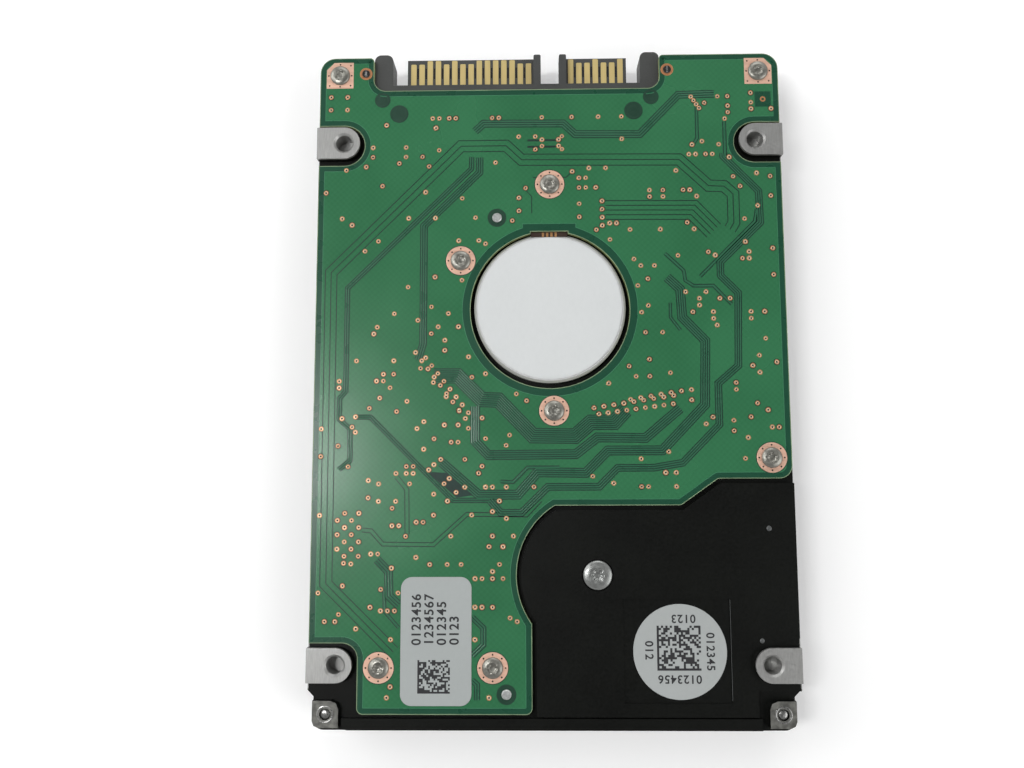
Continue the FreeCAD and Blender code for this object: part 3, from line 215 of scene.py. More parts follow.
def turned_metal(name, colour, rough=0.25, centre=(0.0, 0.0), pitch=0.25, depth=0.002, metal=1.0):
    """Lathe-turned metal: fine rings round an axis given in the frame."""
    made = Finish(name, rough, metal)
    x = made.math("SUBTRACT", made.axis(0), centre[0] * MM)
    y = made.math("SUBTRACT", made.axis(1), centre[1] * MM)
    rings = made.wave(made.math("SQRT", made.squares(x, y)), pitch)
    fine = made.noise(0.5, 3.0)
    made.tint(made.spread(made.math("ADD", rings, fine), -1.0, 2.0), colour, 0.86, 1.1)
    made.rough(fine, rough * 0.8, rough * 1.2)
    made.bump(rings, depth)
    return made.mat


def mirror(name):
    """The polished carbon-coated face of a disc, with the faintest bloom in its gloss."""
    return grained(name, (0.66, 0.66, 0.67), 0.07, 1.0, grain=0.8, patch=16.0, depth=0.00005, vary=0.03)


BARE = (0.40, 0.40, 0.39)
COATED = (0.0026, 0.0031, 0.0024)
HOLE_SIDE = 30.86
HOLE_ROWS = (35.6, -41.0)
TAB_TOPS_ABOVE = 9.0
SIDE_PAD_REACH = 3.6
SIDE_PAD_BEYOND = 34.8
SIDE_PAD_ABOVE = 4.6
BARE_BORE = 2.2
BARE_BORE_ABOVE = 6.0
LUGS_BEHIND = -44.3


def casting_finish(name):
    """Black electro-coated casting, bare where it was machined: tab and lug tops, hole walls, side pads."""
    made = Finish(name, 0.4, level=0.18)
    height = made.axis(2)
    side = made.math("ABSOLUTE", made.axis(0))
    y = made.axis(1)
    outer = made.math("GREATER_THAN", side, SIDE_PAD_BEYOND * MM)
    upper = made.math("GREATER_THAN", height, SIDE_PAD_ABOVE * MM)
    open_end = made.math("GREATER_THAN", height, BARE_BORE_ABOVE * MM)
    machined = made.math("GREATER_THAN", height, TAB_TOPS_ABOVE * MM)
    for hole_y in HOLE_ROWS:
        dx = made.math("SUBTRACT", side, HOLE_SIDE * MM)
        dy = made.math("SUBTRACT", y, hole_y * MM)
        near = made.math("LESS_THAN", made.math("ABSOLUTE", dy), SIDE_PAD_REACH * MM)
        pad = made.math("MULTIPLY", made.math("MULTIPLY", near, outer), upper)
        inside = made.math("LESS_THAN", made.squares(dx, dy), (BARE_BORE * MM) ** 2)
        bore = made.math("MULTIPLY", inside, open_end)
        machined = made.math("MAXIMUM", made.math("MAXIMUM", machined, pad), bore)
    fine = made.noise(0.35, 3.0)
    broad = made.noise(7.0, 4.0)
    strokes = made.noise(0.12, 2.0, (1, 0.08, 1))
    lug = made.math("LESS_THAN", y, LUGS_BEHIND * MM)
    coat = made.mix(made.spread(broad, 0.3, 0.7), shade(COATED, 0.7), shade(COATED, 1.4))
    bare = made.mix(made.spread(strokes, 0.25, 0.75), shade(BARE, 0.88), shade(BARE, 1.1))
    stains = made.spread(made.noise(0.9, 4.0), 0.35, 0.65)
    stained = made.mix(stains, (0.12, 0.12, 0.11), (0.24, 0.24, 0.22))
    made.colour(made.mix(machined, coat, made.mix(lug, bare, stained)))
    made.metal(made.math("MULTIPLY", machined, 0.75))
    made.rough(fine, 0.36, 0.5)
    made.bump(fine, 0.012)
    made.bump(broad, 0.05)
    return made.mat


MASK_OVER_COPPER = (0.031, 0.150, 0.066)
MASK_OVER_RESIN = (0.012, 0.066, 0.036)
WEAVE = 0.9


def board_finish(name):
    """Green solder mask with the weave showing faintly, and the paler cut edge of the laminate."""
    made = Finish(name, 0.24, level=0.4)
    weave = made.math("MULTIPLY", made.wave(made.axis(0), WEAVE), made.wave(made.axis(1), WEAVE))
    broad = made.noise(14.0, 3.0)
    share = made.spread(made.math("ADD", made.math("MULTIPLY", weave, 0.1), broad), 0.25, 0.75)
    face = made.mix(share, shade(MASK_OVER_COPPER, 0.88), shade(MASK_OVER_COPPER, 1.12))
    flat = made.math("GREATER_THAN", made.math("ABSOLUTE", made.axis(2, "Normal")), 0.5)
    laminate = made.spread(made.noise(0.4, 3.0), 0.3, 0.7)
    edge = made.mix(laminate, (0.16, 0.19, 0.07), (0.30, 0.31, 0.14))
    made.colour(made.mix(flat, edge, face))
    made.rough(broad, 0.22, 0.28)
    made.bump(weave, 0.0012)
    made.bump(broad, 0.02)
    return made.mat


def mask_finish(name, colour, rough=0.28, vary=0.12):
    """Solder mask over one kind of ground."""
    made = Finish(name, rough, level=0.4)
    fine = made.noise(2.5, 2.0)
    made.tint(made.spread(fine, 0.2, 0.8), colour, 1 - vary, 1 + vary)
    made.rough(fine, rough * 0.95, rough * 1.08)
    made.bump(fine, 0.004)
    return made.mat


def label_finish(name, colour, rough=0.5, vary=0.04):
    """Coated label stock with faint fibres."""
    made = Finish(name, rough, level=0.4)
    fibres = made.noise(0.5, 4.0, (1, 0.6, 1))
    broad = made.noise(12.0, 3.0)
    share = made.spread(made.sum_of(fibres, 0.4, broad, 0.6), 0.3, 0.7)
    made.tint(share, colour, 1 - vary, 1 + vary)
    made.rough(fibres, rough * 0.9, rough * 1.1)
    made.bump(fibres, 0.004)
    return made.mat


def wound_finish(name, colour, pitch=0.14):
    """Enamelled wire laid in turns: fine lines across the height."""
    made = Finish(name, 0.3, 0.6)
    turns = made.wave(made.axis(2), pitch)
    fine = made.noise(0.3, 3.0)
    made.tint(made.spread(made.math("ADD", turns, fine), -1.0, 2.0), colour, 0.55, 1.2)
    made.rough(fine, 0.25, 0.4)
    made.bump(turns, 0.02)
    return made.mat


def look(maker, *values, **options):
    """A finish that is made later, under the name of the node that it is for."""
    def make(name):
        return maker("mat_" + name, *values, **options)
    return make


CONTACT_GOLD = look(brushed, (0.60, 0.47, 0.20), 0.45, metal=0.35, along=(1, 0.05, 1), grain=0.3, vary=0.06)
RACE_STEEL = look(turned_metal, (0.5, 0.5, 0.5), 0.15, centre=PIVOT_AXIS, pitch=0.2)
YOKE_STEEL = look(brushed, (0.55, 0.55, 0.52), 0.3, grain=0.2)
PLATED_MAGNET = look(brushed, (0.62, 0.61, 0.57), 0.2, grain=0.3)

NODE_LOOKS = {
    "base_casting": look(casting_finish),
    "top_cover": look(brushed, (0.50, 0.50, 0.49), 0.34, along=(1, 0.03, 1), grain=0.16),
    "cover_gasket": look(grained, (0.015, 0.015, 0.016), 0.75, grain=0.25),
    "cover_screws": look(turned_metal, (0.20, 0.20, 0.20), 0.3, pitch=0.4),
    "cover_label": look(label_finish, (0.66, 0.67, 0.66), 0.42),
    "board_label": look(label_finish, (0.36, 0.385, 0.38)),
    "round_label": look(label_finish, (0.37, 0.39, 0.385)),
    "circuit_board": look(board_finish),
    "board_screws": look(grained, (0.27, 0.265, 0.235), 0.36, 0.75, grain=0.3, patch=1.5, depth=0.02,
                         vary=0.3),
    "locating_pins": look(grained, (0.60, 0.62, 0.61), 0.35, 0.7, grain=0.25, patch=1.0, vary=0.2),
    "controller_chip": look(grained, (0.018, 0.018, 0.019), 0.6, grain=0.2),
    "memory_chip": look(grained, (0.02, 0.02, 0.021), 0.6, grain=0.2),
    "motor_driver_chip": look(grained, (0.018, 0.018, 0.02), 0.6, grain=0.2),
    "crystal_oscillator": look(brushed, (0.6, 0.58, 0.52), 0.25, grain=0.1),
    "board_capacitors": look(grained, (0.30, 0.19, 0.10), 0.45, grain=0.2),
    "connector_housing": look(grained, (0.045, 0.047, 0.045), 0.5, grain=0.3, depth=0.006),
    "power_contacts": CONTACT_GOLD,
    "signal_contacts": CONTACT_GOLD,
    "connector_hold_downs": look(grained, (0.30, 0.24, 0.20), 0.35, 0.8, grain=0.25),
    "motor_bracket": look(turned_metal, (0.62, 0.63, 0.63), 0.38, MOTOR_AXIS, pitch=0.3, metal=0.35),
    "motor_seal_label": look(label_finish, (0.62, 0.64, 0.64), 0.45, vary=0.03),
    "motor_flex": look(grained, (0.030, 0.014, 0.008), 0.4, grain=0.4, depth=0.004),
    "spindle_hub": look(turned_metal, (0.62, 0.62, 0.61), 0.2, MOTOR_AXIS, pitch=0.3),
    "spindle_motor_shaft": look(turned_metal, (0.55, 0.55, 0.54), 0.15, MOTOR_AXIS, pitch=0.2),
    "rotor_magnet": look(grained, (0.04, 0.04, 0.043), 0.45, 0.3, grain=0.2),
    "platter_cover_side": look(mirror),
    "platter_board_side": look(mirror),
    "platter_spacer": look(turned_metal, (0.6, 0.6, 0.6), 0.25, MOTOR_AXIS, pitch=0.3),
    "disc_clamp": look(turned_metal, (0.55, 0.55, 0.54), 0.22, MOTOR_AXIS, pitch=0.4),
    "clamp_screw": look(turned_metal, (0.3, 0.3, 0.3), 0.3, MOTOR_AXIS, pitch=0.3),
    "bearing_sleeve": look(turned_metal, (0.55, 0.42, 0.2), 0.25, MOTOR_AXIS, pitch=0.3),
    "stator_core": look(grained, (0.16, 0.16, 0.17), 0.4, 0.8, grain=0.15),
    "stator_windings": look(wound_finish, (0.55, 0.22, 0.07)),
    "pivot_shaft": look(turned_metal, (0.5, 0.5, 0.5), 0.2, PIVOT_AXIS, pitch=0.2),
    "pivot_screw": look(grained, (0.30, 0.31, 0.30), 0.34, 0.7, grain=0.5, patch=2.0, depth=0.004, vary=0.12),
    "pivot_inner_races": RACE_STEEL,
    "pivot_outer_races": RACE_STEEL,
    "pivot_balls": look(grained, (0.6, 0.6, 0.6), 0.1, 1.0, grain=0.3, depth=0.0005, vary=0.05),
    "pivot_sleeve": look(turned_metal, (0.45, 0.45, 0.45), 0.25, PIVOT_AXIS, pitch=0.3),
    "lower_yoke": YOKE_STEEL,
    "upper_yoke": YOKE_STEEL,
    "lower_magnet": PLATED_MAGNET,
    "upper_magnet": PLATED_MAGNET,
    "yoke_posts": look(turned_metal, (0.5, 0.5, 0.48), 0.25, pitch=0.3),
    "flex_bracket": look(grained, (0.30, 0.30, 0.29), 0.4, 0.8, grain=0.3),
    "preamp_connector": look(grained, (0.05, 0.045, 0.04), 0.5, grain=0.3),
    "load_ramp": look(grained, (0.55, 0.53, 0.46), 0.4, grain=0.3, depth=0.004, vary=0.06),
    "ramp_screw": look(turned_metal, (0.35, 0.35, 0.35), 0.3, pitch=0.3),
    "latch_pin": look(turned_metal, (0.5, 0.5, 0.5), 0.2, pitch=0.2),
    "inertia_latch": look(grained, (0.03, 0.03, 0.032), 0.45, grain=0.25, depth=0.005),
    "crash_stops": look(grained, (0.02, 0.02, 0.02), 0.7, grain=0.2),
    "recirculation_filter": look(grained, (0.72, 0.72, 0.70), 0.85, grain=0.12, depth=0.03, vary=0.08),
    "breather_filter": look(grained, (0.6, 0.6, 0.58), 0.85, grain=0.12, depth=0.03),
    "actuator_arm": look(brushed, (0.62, 0.62, 0.61), 0.3, grain=0.2),
    "head_suspensions": look(brushed, (0.5, 0.5, 0.49), 0.22, grain=0.1),
    "head_sliders": look(grained, (0.03, 0.03, 0.032), 0.25, grain=0.1, depth=0.001),
    "voice_coil": look(wound_finish, (0.6, 0.25, 0.08), 0.2),
    "coil_overmould": look(grained, (0.02, 0.02, 0.021), 0.5, grain=0.25),
    "preamp_chip": look(grained, (0.05, 0.052, 0.06), 0.3, 0.2, grain=0.1),
    "actuator_flex": look(grained, (0.30, 0.12, 0.03), 0.35, grain=0.4, depth=0.004),
}
NODE_FINISHES = {name: make(name) for name, make in NODE_LOOKS.items()}

for name, finish in NODE_FINISHES.items():
    mesh = frame["nodes"][name].data
    mesh.materials.clear()
    mesh.materials.append(finish)

EXTRA = {
    "border": mask_finish("mat_mask_border", MASK_OVER_RESIN, vary=0.05),
    # a paler strip: painted highlight along the inner edge of the dark border
    "line": mask_finish("mat_border_line", (0.045, 0.185, 0.095), vary=0.1),
    "track": mask_finish("mat_track_band", (0.027, 0.125, 0.064), vary=0.06),
    "gap": mask_finish("mat_trace_gap", (0.007, 0.028, 0.020), 0.4, vary=0.1),
    "island": mask_finish("mat_bare_island", (0.006, 0.030, 0.022), 0.45, vary=0.3),
    "ring": brushed("mat_copper_ring", (0.50, 0.22, 0.10), 0.35, metal=0.4, grain=0.3),
    "tinned": brushed("mat_tinned_ring", (0.74, 0.60, 0.40), 0.35, metal=0.4, grain=0.3),
    "halo": mask_finish("mat_via_halo", (0.010, 0.045, 0.026), 0.4),
    # a dark disc that stands for the inside of a drilled hole: painted shade
    "hole": grained("mat_drilled_hole", (0.030, 0.010, 0.008), 0.8, grain=0.1),
    "pad": brushed("mat_copper_pad", (0.74, 0.46, 0.34), 0.4, metal=0.3, grain=0.5, vary=0.14),
    "ink": label_finish("mat_label_ink", (0.02, 0.02, 0.022), 0.55),
    "edge": mask_finish("mat_board_edge", (0.20, 0.28, 0.16), 0.5, vary=0.35),
    "stripe": brushed("mat_flex_copper", (0.55, 0.30, 0.13), 0.35, metal=0.7, grain=0.2),
    "bright": brushed("mat_tinned_tail", (0.72, 0.72, 0.70), 0.25, grain=0.2),
    "steel": grained("mat_bare_steel", (0.34, 0.34, 0.33), 0.3, 0.85, grain=0.25, patch=1.5, depth=0.02,
                     vary=0.3),
    # grey for the real ejector marks, and for a painted highlight along the label recess's lit edge
    "wear_and_highlight": grained("mat_worn_edge", (0.07, 0.075, 0.075), 0.4, grain=0.5),
    # near-black for shade in slots and round the hold-downs: painted shade
    "gap_shade": grained("mat_gap_dark", (0.006, 0.006, 0.006), 0.8, grain=0.3),
}


# ---------------------------------------------------------------- mesh helpers


def placed(name, data):
    """A new object in the scene."""
    made = bpy.data.objects.new(name, data)
    bpy.context.scene.collection.objects.link(made)
    return made


def loose_piece(name, heap, material, smooth=False):
    """A mesh piece from a heap's points in mm in the frame, on no body yet."""
    mesh = bpy.data.meshes.new(name)
    mesh.from_pydata([tuple(c * MM for c in p) for p in heap.points], [], heap.faces)
    mesh.materials.append(material)
    for polygon in mesh.polygons:
        polygon.use_smooth = smooth
    mesh.update()
    return placed(name, mesh)


def circle(x, y, radius, sides):
    """Places evenly spaced on a circle."""
    turns = [2 * math.pi * i / sides for i in range(sides)]
    return [(x + radius * math.cos(a), y + radius * math.sin(a)) for a in turns]


class Heap:
    """Points and faces of many small shapes that end up in one piece."""

    def __init__(self):
        self.points = []
        self.faces = []

    def add(self, points, faces):
        start = len(self.points)
        self.points += points
        self.faces += [tuple(start + i for i in face) for face in faces]

    def lathe(self, x, y, profile, sides=16):
        """A turned shape standing at (x, y): profile is (radius, height) pairs from outside in."""
        points = [(px, py, z) for radius, z in profile for px, py in circle(x, y, radius, sides)]
        faces = []
        for k in range(len(profile) - 1):
            for i in range(sides):
                j = (i + 1) % sides
                faces.append((k * sides + i, k * sides + j, (k + 1) * sides + j, (k + 1) * sides + i))
        self.add(points, faces)

    def disc(self, x, y, radius, z, sides=16):
        self.add([(px, py, z) for px, py in circle(x, y, radius, sides)], [tuple(range(sides))])

    def rectangle(self, x0, y0, x1, y1, z, facing_down=False):
        corners = [(x0, y0, z), (x1, y0, z), (x1, y1, z), (x0, y1, z)]
        self.add(corners, [(3, 2, 1, 0) if facing_down else (0, 1, 2, 3)])

    def box(self, x0, y0, x1, y1, z0, z1):
        self.add([(x0, y0, z0), (x1, y0, z0), (x1, y1, z0), (x0, y1, z0),
                  (x0, y0, z1), (x1, y0, z1), (x1, y1, z1), (x0, y1, z1)],
                 [(4, 5, 6, 7), (0, 1, 5, 4), (1, 2, 6, 5), (2, 3, 7, 6), (3, 0, 4, 7)])

    def ribbon(self, points, width, z):
        """A flat strip along a route, with its corners mitred."""
        left = shifted(points, width / 2)
        right = shifted(points, -width / 2)
        count = len(points)
        self.add([(x, y, z) for x, y in left] + [(x, y, z) for x, y in right],
                 [(i, count + i, count + i + 1, i + 1) for i in range(count - 1)])

    def ridge(self, points, width, z, rise):
        """A strip along a route that is highest along its middle."""
        rows = (shifted(points, width / 2), shifted(points, 0.0), shifted(points, -width / 2))
        count = len(points)
        slopes = (((rows[0], z), (rows[1], z + rise)), ((rows[1], z + rise), (rows[2], z)))
        for (left, a), (right, b) in slopes:
            self.add([(x, y, a) for x, y in left] + [(x, y, b) for x, y in right],
                     [(i, count + i, count + i + 1, i + 1) for i in range(count - 1)])

    def piece(self, name, material, slot, smooth=False):
        """One piece on the enclosure. The slot, the CAD node whose looks it shares, is not used."""
        made = loose_piece(name, self, material, smooth)
        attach(made, "enclosure")
        return made


def shifted(points, distance, closed=False):
    """The route moved sideways, to its left, by a distance, with mitred corners."""
    count = len(points)
    out = []
    for i in range(count):
        here = Vector(points[i])
        before = Vector(points[i - 1]) if closed or i > 0 else None
        after = Vector(points[(i + 1) % count]) if closed or i < count - 1 else None
        ways = []
        if before is not None and (here - before).length > 1e-9:
            ways.append((here - before).normalized())
        if after is not None and (after - here).length > 1e-9:
            ways.append((after - here).normalized())
        sides = [Vector((-w.y, w.x)) for w in ways]
        if len(sides) == 2:
            total = sides[0] + sides[1]
            if total.length < 0.2:
                mitre = sides[0]
            else:
                total.normalize()
                mitre = total / max(0.5, total.dot(sides[0]))
        else:
            mitre = sides[0]
        moved = here + mitre * distance
        out.append((moved.x, moved.y))
    return out


# ---------------------------------------------------------------- the circuit board's outer face


def on_board(heap, name, kind):
    heap.piece(name, EXTRA[kind], slot="circuit_board")


SKIN = BOARD_TOP + 0.004
SMALLEST_OPENING = 5.0
BORDER_WIDTH = 0.85
MOTOR_BORDER_WIDTH = 1.15
RIM_WIDTH = 0.1
SHORTEST_EDGE = 0.05


def top_loops():
    """The outlines of the board's outer face in mm, each with the board on its left."""
    node = frame["nodes"]["circuit_board"]
    world = node.matrix_world
    mesh = node.data
    place = [world @ v.co / MM for v in mesh.vertices]
    key = [(round(p.x, 3), round(p.y, 3)) for p in place]
    follow = {}
    for polygon in mesh.polygons:
        corners = list(polygon.vertices)
        if min(place[i].z for i in corners) < BOARD_TOP - 0.01:
            continue
        for a, b in zip(corners, corners[1:] + corners[:1]):
            edge = (key[a], key[b])
            if (edge[1], edge[0]) in follow:
                del follow[(edge[1], edge[0])]
            else:
                follow[edge] = True
    after = {a: b for a, b in follow}
    loops = []
    while after:
        start, here = after.popitem()
        loop = [start]
        while here != start and here in after:
            loop.append(here)
            here = after.pop(here)
        loops.append(loop)
    return loops


def board_border():
    """The dark band under the mask that follows the board's outline, a painted highlight along the band's
    inner edge, and the board's pale cut edge.
    """
    band, rim, line = Heap(), Heap(), Heap()
    for loop in top_loops():
        xs = [p[0] for p in loop]
        if max(xs) - min(xs) < SMALLEST_OPENING:
            continue
        loop = [p for i, p in enumerate(loop) if (Vector(p) - Vector(loop[i - 1])).length > SHORTEST_EDGE]
        count = len(loop)
        reach = BORDER_WIDTH if max(xs) > 20.0 else MOTOR_BORDER_WIDTH
        inner = shifted(loop, reach, closed=True)
        lit = shifted(loop, reach + RIM_WIDTH, closed=True)
        thin = shifted(loop, RIM_WIDTH, closed=True)
        quads = [(i, (i + 1) % count, count + (i + 1) % count, count + i) for i in range(count)]
        band.add([(x, y, SKIN) for x, y in thin] + [(x, y, SKIN) for x, y in inner], quads)
        rim.add([(x, y, SKIN + 0.002) for x, y in loop] + [(x, y, SKIN + 0.002) for x, y in thin], quads)
        # the paler strip just inside the band is a painted highlight of its lit edge
        line.add([(x, y, SKIN + 0.001) for x, y in inner] + [(x, y, SKIN + 0.001) for x, y in lit], quads)
    on_board(line, "board_border_painted_highlight", "line")
    on_board(band, "board_border", "border")
    on_board(rim, "board_cut_edge", "edge")


# how many gaps a group of tracks shows, their pitch, and the route of its middle, in mm
TRACES = (
    (3, 0.87, [(-22.6, -39.2), (-32.4, -29.7), (-32.5, 15.8), (-13.2, 35.1), (-6.4, 35.1),
               (-4.1, 32.9), (19.5, 32.7), (23.8, 28.6), (26.1, 28.5), (27.4, 27.3), (27.4, 22.9),
               (26.8, 21.9)]),
    (3, 0.33, [(-11.6, 33.4), (-11.6, 31.6), (-30, 13.4), (-30, -2), (-30.9, -3), (-30.9, -6.1),
               (-29.3, -7.5), (-29.2, -12.1), (-30.8, -13.4)]),
    (4, 0.33, [(-10.4, 33.3), (-10.4, 31), (-18.7, 22.8), (-18.7, 5), (-19.4, 2.6)]),
    (4, 0.36, [(-11.1, 37.4), (-9.8, 38.6), (2.2, 38.5), (4, 36.8), (13.7, 36.7), (19.6, 42.8),
               (25, 42.9)]),
    (5, 0.72, [(8.4, 25), (21.4, 24.9), (24.4, 21.7)]),
    (2, 0.45, [(26.4, 38.6), (26.4, 33)]),
    (4, 0.32, [(26.1, 33.6), (26.1, 33.1), (31.2, 27.7), (31.3, 22.9), (25.2, 16.9), (25.2, 14.9),
               (27.7, 12.3), (27.4, 1.5), (24.4, -1.1), (24.4, -7.1), (19, -12.6), (14.8, -13.3),
               (9.6, -13.3), (6.9, -16), (-0.5, -16), (-4.3, -19.7), (-7.3, -19.7), (-8.9, -17.9)]),
    (3, 0.32, [(-8.9, -17.9), (-14.2, -17.9), (-26.3, -5.8), (-28.6, -5.8)]),
    (5, 0.32, [(17.3, 14.7), (19.2, 12.9), (19.4, 8.7), (22.7, 5.2), (22.4, -4.2), (16.1, -10.8),
               (8.2, -10.8), (5, -14), (-2, -13.9), (-4.8, -17.1), (-10.5, -17.1), (-15.9, -12.4)]),
    (8, 0.30, [(-17.1, 0.2), (-13.6, 0.2), (-10.1, -3.3), (-7.6, -3.4), (-2.6, -8.6), (3.5, -8.7),
               (5.8, -6.7), (9.2, -6.7), (10.9, -4.9)]),
    (5, 0.32, [(-11, -4.3), (-11, -9.4), (-9.1, -11.4), (3.6, -11.3), (6.7, -8.9), (13.7, -9),
               (18.8, -4.7)]),
    (2, 0.40, [(-7.3, -15.2), (-5.5, -15.3), (-3.4, -13.2), (1.2, -13.2)]),
    (2, 0.60, [(-22.4, -14.5), (-20.9, -16.3), (-20.8, -22.7)]),
    (2, 0.40, [(17.1, 18.3), (19.8, 15.7), (20, 14.2), (21.2, 13.4), (24.1, 13.4), (26.7, 10.6)]),
    (2, 0.40, [(30.8, 24.9), (30.5, 23.1), (22.2, 14.8)]),
    (2, 0.35, [(17.7, 10.9), (17.7, 8.7), (19.1, 6.8)]),
    (2, 0.40, [(22.3, 40.9), (22.3, 36), (21.5, 34.7)]),
    (2, 0.55, [(-27.3, -22.1), (-26, -22.2), (-24.3, -24.1), (-17, -24.2), (-12.2, -19.9),
               (-3.6, -20), (-1.6, -17.9)]),
    (4, 0.38, [(-25.1, -26.3), (-23.4, -28), (-23.3, -31.4), (-21.9, -32.7)]),
    (2, 0.40, [(-24, -30.7), (-23.9, -33.6), (-21.9, -35.8)]),
    (3, 0.36, [(-11.4, -34.4), (-9.8, -35.9), (-9.8, -38.2), (-11.4, -39.7)]),
    (3, 0.36, [(-11.4, -43.1), (-10.7, -43.7), (-10.7, -45.8)]),
    (1, 0.30, [(-3.7, 28.4), (-2.6, 27.2), (-2.6, 24.6)]),
    (1, 0.30, [(3.4, 30.9), (2.6, 30.1), (-2.4, 30.1)]),
)


CLOSE_PITCH = 0.5
GAP_WIDTH = 0.13


def board_traces():
    """The narrow dark gaps between tracks, the raised tracks between close gaps, and one bare island."""
    gaps, bands, island = Heap(), Heap(), Heap()
    for number, (lines, pitch, route) in enumerate(TRACES):
        if lines > 1 and pitch < CLOSE_PITCH:
            for k in range(lines - 1):
                track = shifted(route, (k - (lines - 2) / 2) * pitch)
                bands.ridge(track, pitch - 0.1, SKIN + 0.001 + 0.0001 * number, 0.016)
        for k in range(lines):
            gaps.ribbon(shifted(route, (k - (lines - 1) / 2) * pitch), GAP_WIDTH, SKIN + 0.006)
    for y in (34.9, 35.9):
        gaps.ribbon(((-3.2, y), (2.0, y)), 0.3, SKIN + 0.003)
    corners = ((-17.9, -13.8), (-13.8, -14.0), (-10.8, -17.1), (-13.7, -17.5))
    island.add([(x, y, SKIN + 0.003) for x, y in corners], [(3, 2, 1, 0)])
    on_board(island, "board_island", "island")
    on_board(bands, "board_trace_bands", "track")
    on_board(gaps, "board_trace_gaps", "gap")


# single vias, with most places rounded to 0.5 mm: y, then each x, in mm
VIA_ROWS = (
    (43, (-33, -30.5, 30.5)), (42.5, (25.5, 27)), (41.5, (23.5, 30.5)), (41, (-33, -30.5, 27)),
    (40.5, (30.5, 33.5)), (40, (27,)), (39.5, (-17.5, -16.5, -15, -14, -8.5, -7.5, -1, 3.5, 7.5, 11)),
    (39, (26.5,)), (38.5, (-24.5,)), (38, (-17,)), (36.5, (-4.5, -2, 2)), (36, (-1, 1.5, 11)),
    (35.5, (23,)), (35, (-26.5, -21.5, -1, 1.5, 21.5, 25.5)), (34.5, (-16.5, -2, 2)),
    (33.5, (-26.5, -21.5, -19, 21, 22, 23.5, 24.5)), (33, (27,)), (32.5, (-22.5, -8)), (32, (-27.5, -18)),
    (31.5, (-30.5, 6, 8.5)), (31, (3.5, 19)), (30.5, (31,)), (30, (4.5, 5.5, 27.5, 33)), (29, (-25,)),
    (28.5, (-3.5, 4.5, 5.5, 7, 28.5)), (28, (-33.5, -18.5, 15, 17, 20, 21)),
    (27, (-13, -4.5, 15, 17, 22, 33)), (26, (4.5,)), (25.5, (31,)), (25, (-4.5,)),
    (24, (-31, -21, -17, -11, 4.5)), (23.5, (-5.5, 29)), (23, (-29.5, 9, 10, 20.5)),
    (22, (7, 12, 16.5, 21.5)), (20.5, (-25.5, -13.5, -10.5, 9)), (20, (-9.5, 29)), (19, (-27.5, 33)),
    (18.5, (23.5, 29.5)), (18, (19, 24.5)), (17.5, (12.5, 28.5, 29.5)), (16.5, (13.5, 15.5)),
    (15, (-17, 33)), (14.5, (-13, 14.5)), (13.5, (-21, 13)), (12.5, (20, 23)), (11.5, (22, 25, 26.5)),
    (10.5, (-17.5, 14.5, 22)), (9.5, (-23, -15, 13.5, 21, 24, 29.5, 31.5)), (8.5, (-19.5, 24, 29.5)),
    (7.5, (-25.5, -16.5, -13.5, 24.5)), (6.5, (-26, -17.5, 14, 16.5)), (5.5, (-15.5, 31.5)), (4, (-15.5,)),
    (3, (-12, 30.5)), (2.5, (-28.5, -23, 14.5)), (2, (33,)), (1.5, (11.5, 29.5)),
    (0.5, (-24.5, -23, -9.5, 17.5, 30.5)), (0, (-11.5, 12.5, 14.5)), (-0.5, (-31, -25.5, -24.5)),
    (-1, (8.5, 27)), (-1.5, (-31, -23.5)), (-2, (20.5, 27)), (-2.5, (-5,)), (-3, (-25,)),
    (-3.5, (-21, -3.5, 20.5)), (-4, (30,)), (-4.5, (-26.5,)), (-5, (-22.5, 31.5)), (-6, (-10, 23.5, 29)),
    (-6.5, (-18.5, 26.5)), (-7, (-15.5, -13.5, 22.5)), (-7.5, (-33.5, -19.5, -12, 32, 33)), (-8, (26.5,)),
    (-8.5, (-6,)), (-9, (-17, -9.5, 28.5)), (-9.5, (-14.5, -13.5)), (-10, (-31, -6.5)), (-10.5, (-18.5,)),
    (-11, (17,)), (-11.5, (-33.5,)), (-12, (-12.5, 13, 28)), (-13, (-29.5, -21, -20, -10)),
    (-14, (-22.5, -21, -20, -10.5, 16.5, 18)), (-14.5, (6,)), (-15, (-26.5,)), (-15.5, (-25, -20.5, 9)),
    (-16, (-9.5, -8.5, -6.5, -2.5, 13, 14, 18)), (-17, (-17,)), (-17.5, (-26.5,)),
    (-18, (-25, -22.5, -15, -7.5)), (-19, (-23,)), (-19.5, (-8.5,)), (-20, (-33.5, -17, -11.5)),
    (-20.5, (-6.5,)), (-21, (-19.5, -18.5)), (-21.5, (-23, -22)), (-23, (-21, -14.5, -8.5, -5.5)),
    (-24.5, (-9, -7)), (-25.5, (-26, -25)), (-26, (-19.5,)), (-27, (-17.5, -15, -13, -7.5)),
    (-27.5, (-23,)), (-28, (-8.5,)), (-29, (-11, -10, -8.5, -7)), (-30, (-30,)), (-30.5, (-24.5,)),
    (-31, (-33.5, -22)), (-33, (-26, -11, -10, -8.5)), (-33.5, (-24.5, -23.5, -22.5)), (-34, (-30.5,)),
    (-34.5, (-6,)), (-35, (-32.5, -31, -5)), (-36, (-28,)), (-37.5, (-23, -11)), (-44, (-23,)),
    (-45.5, (-23.5, -9)),
)


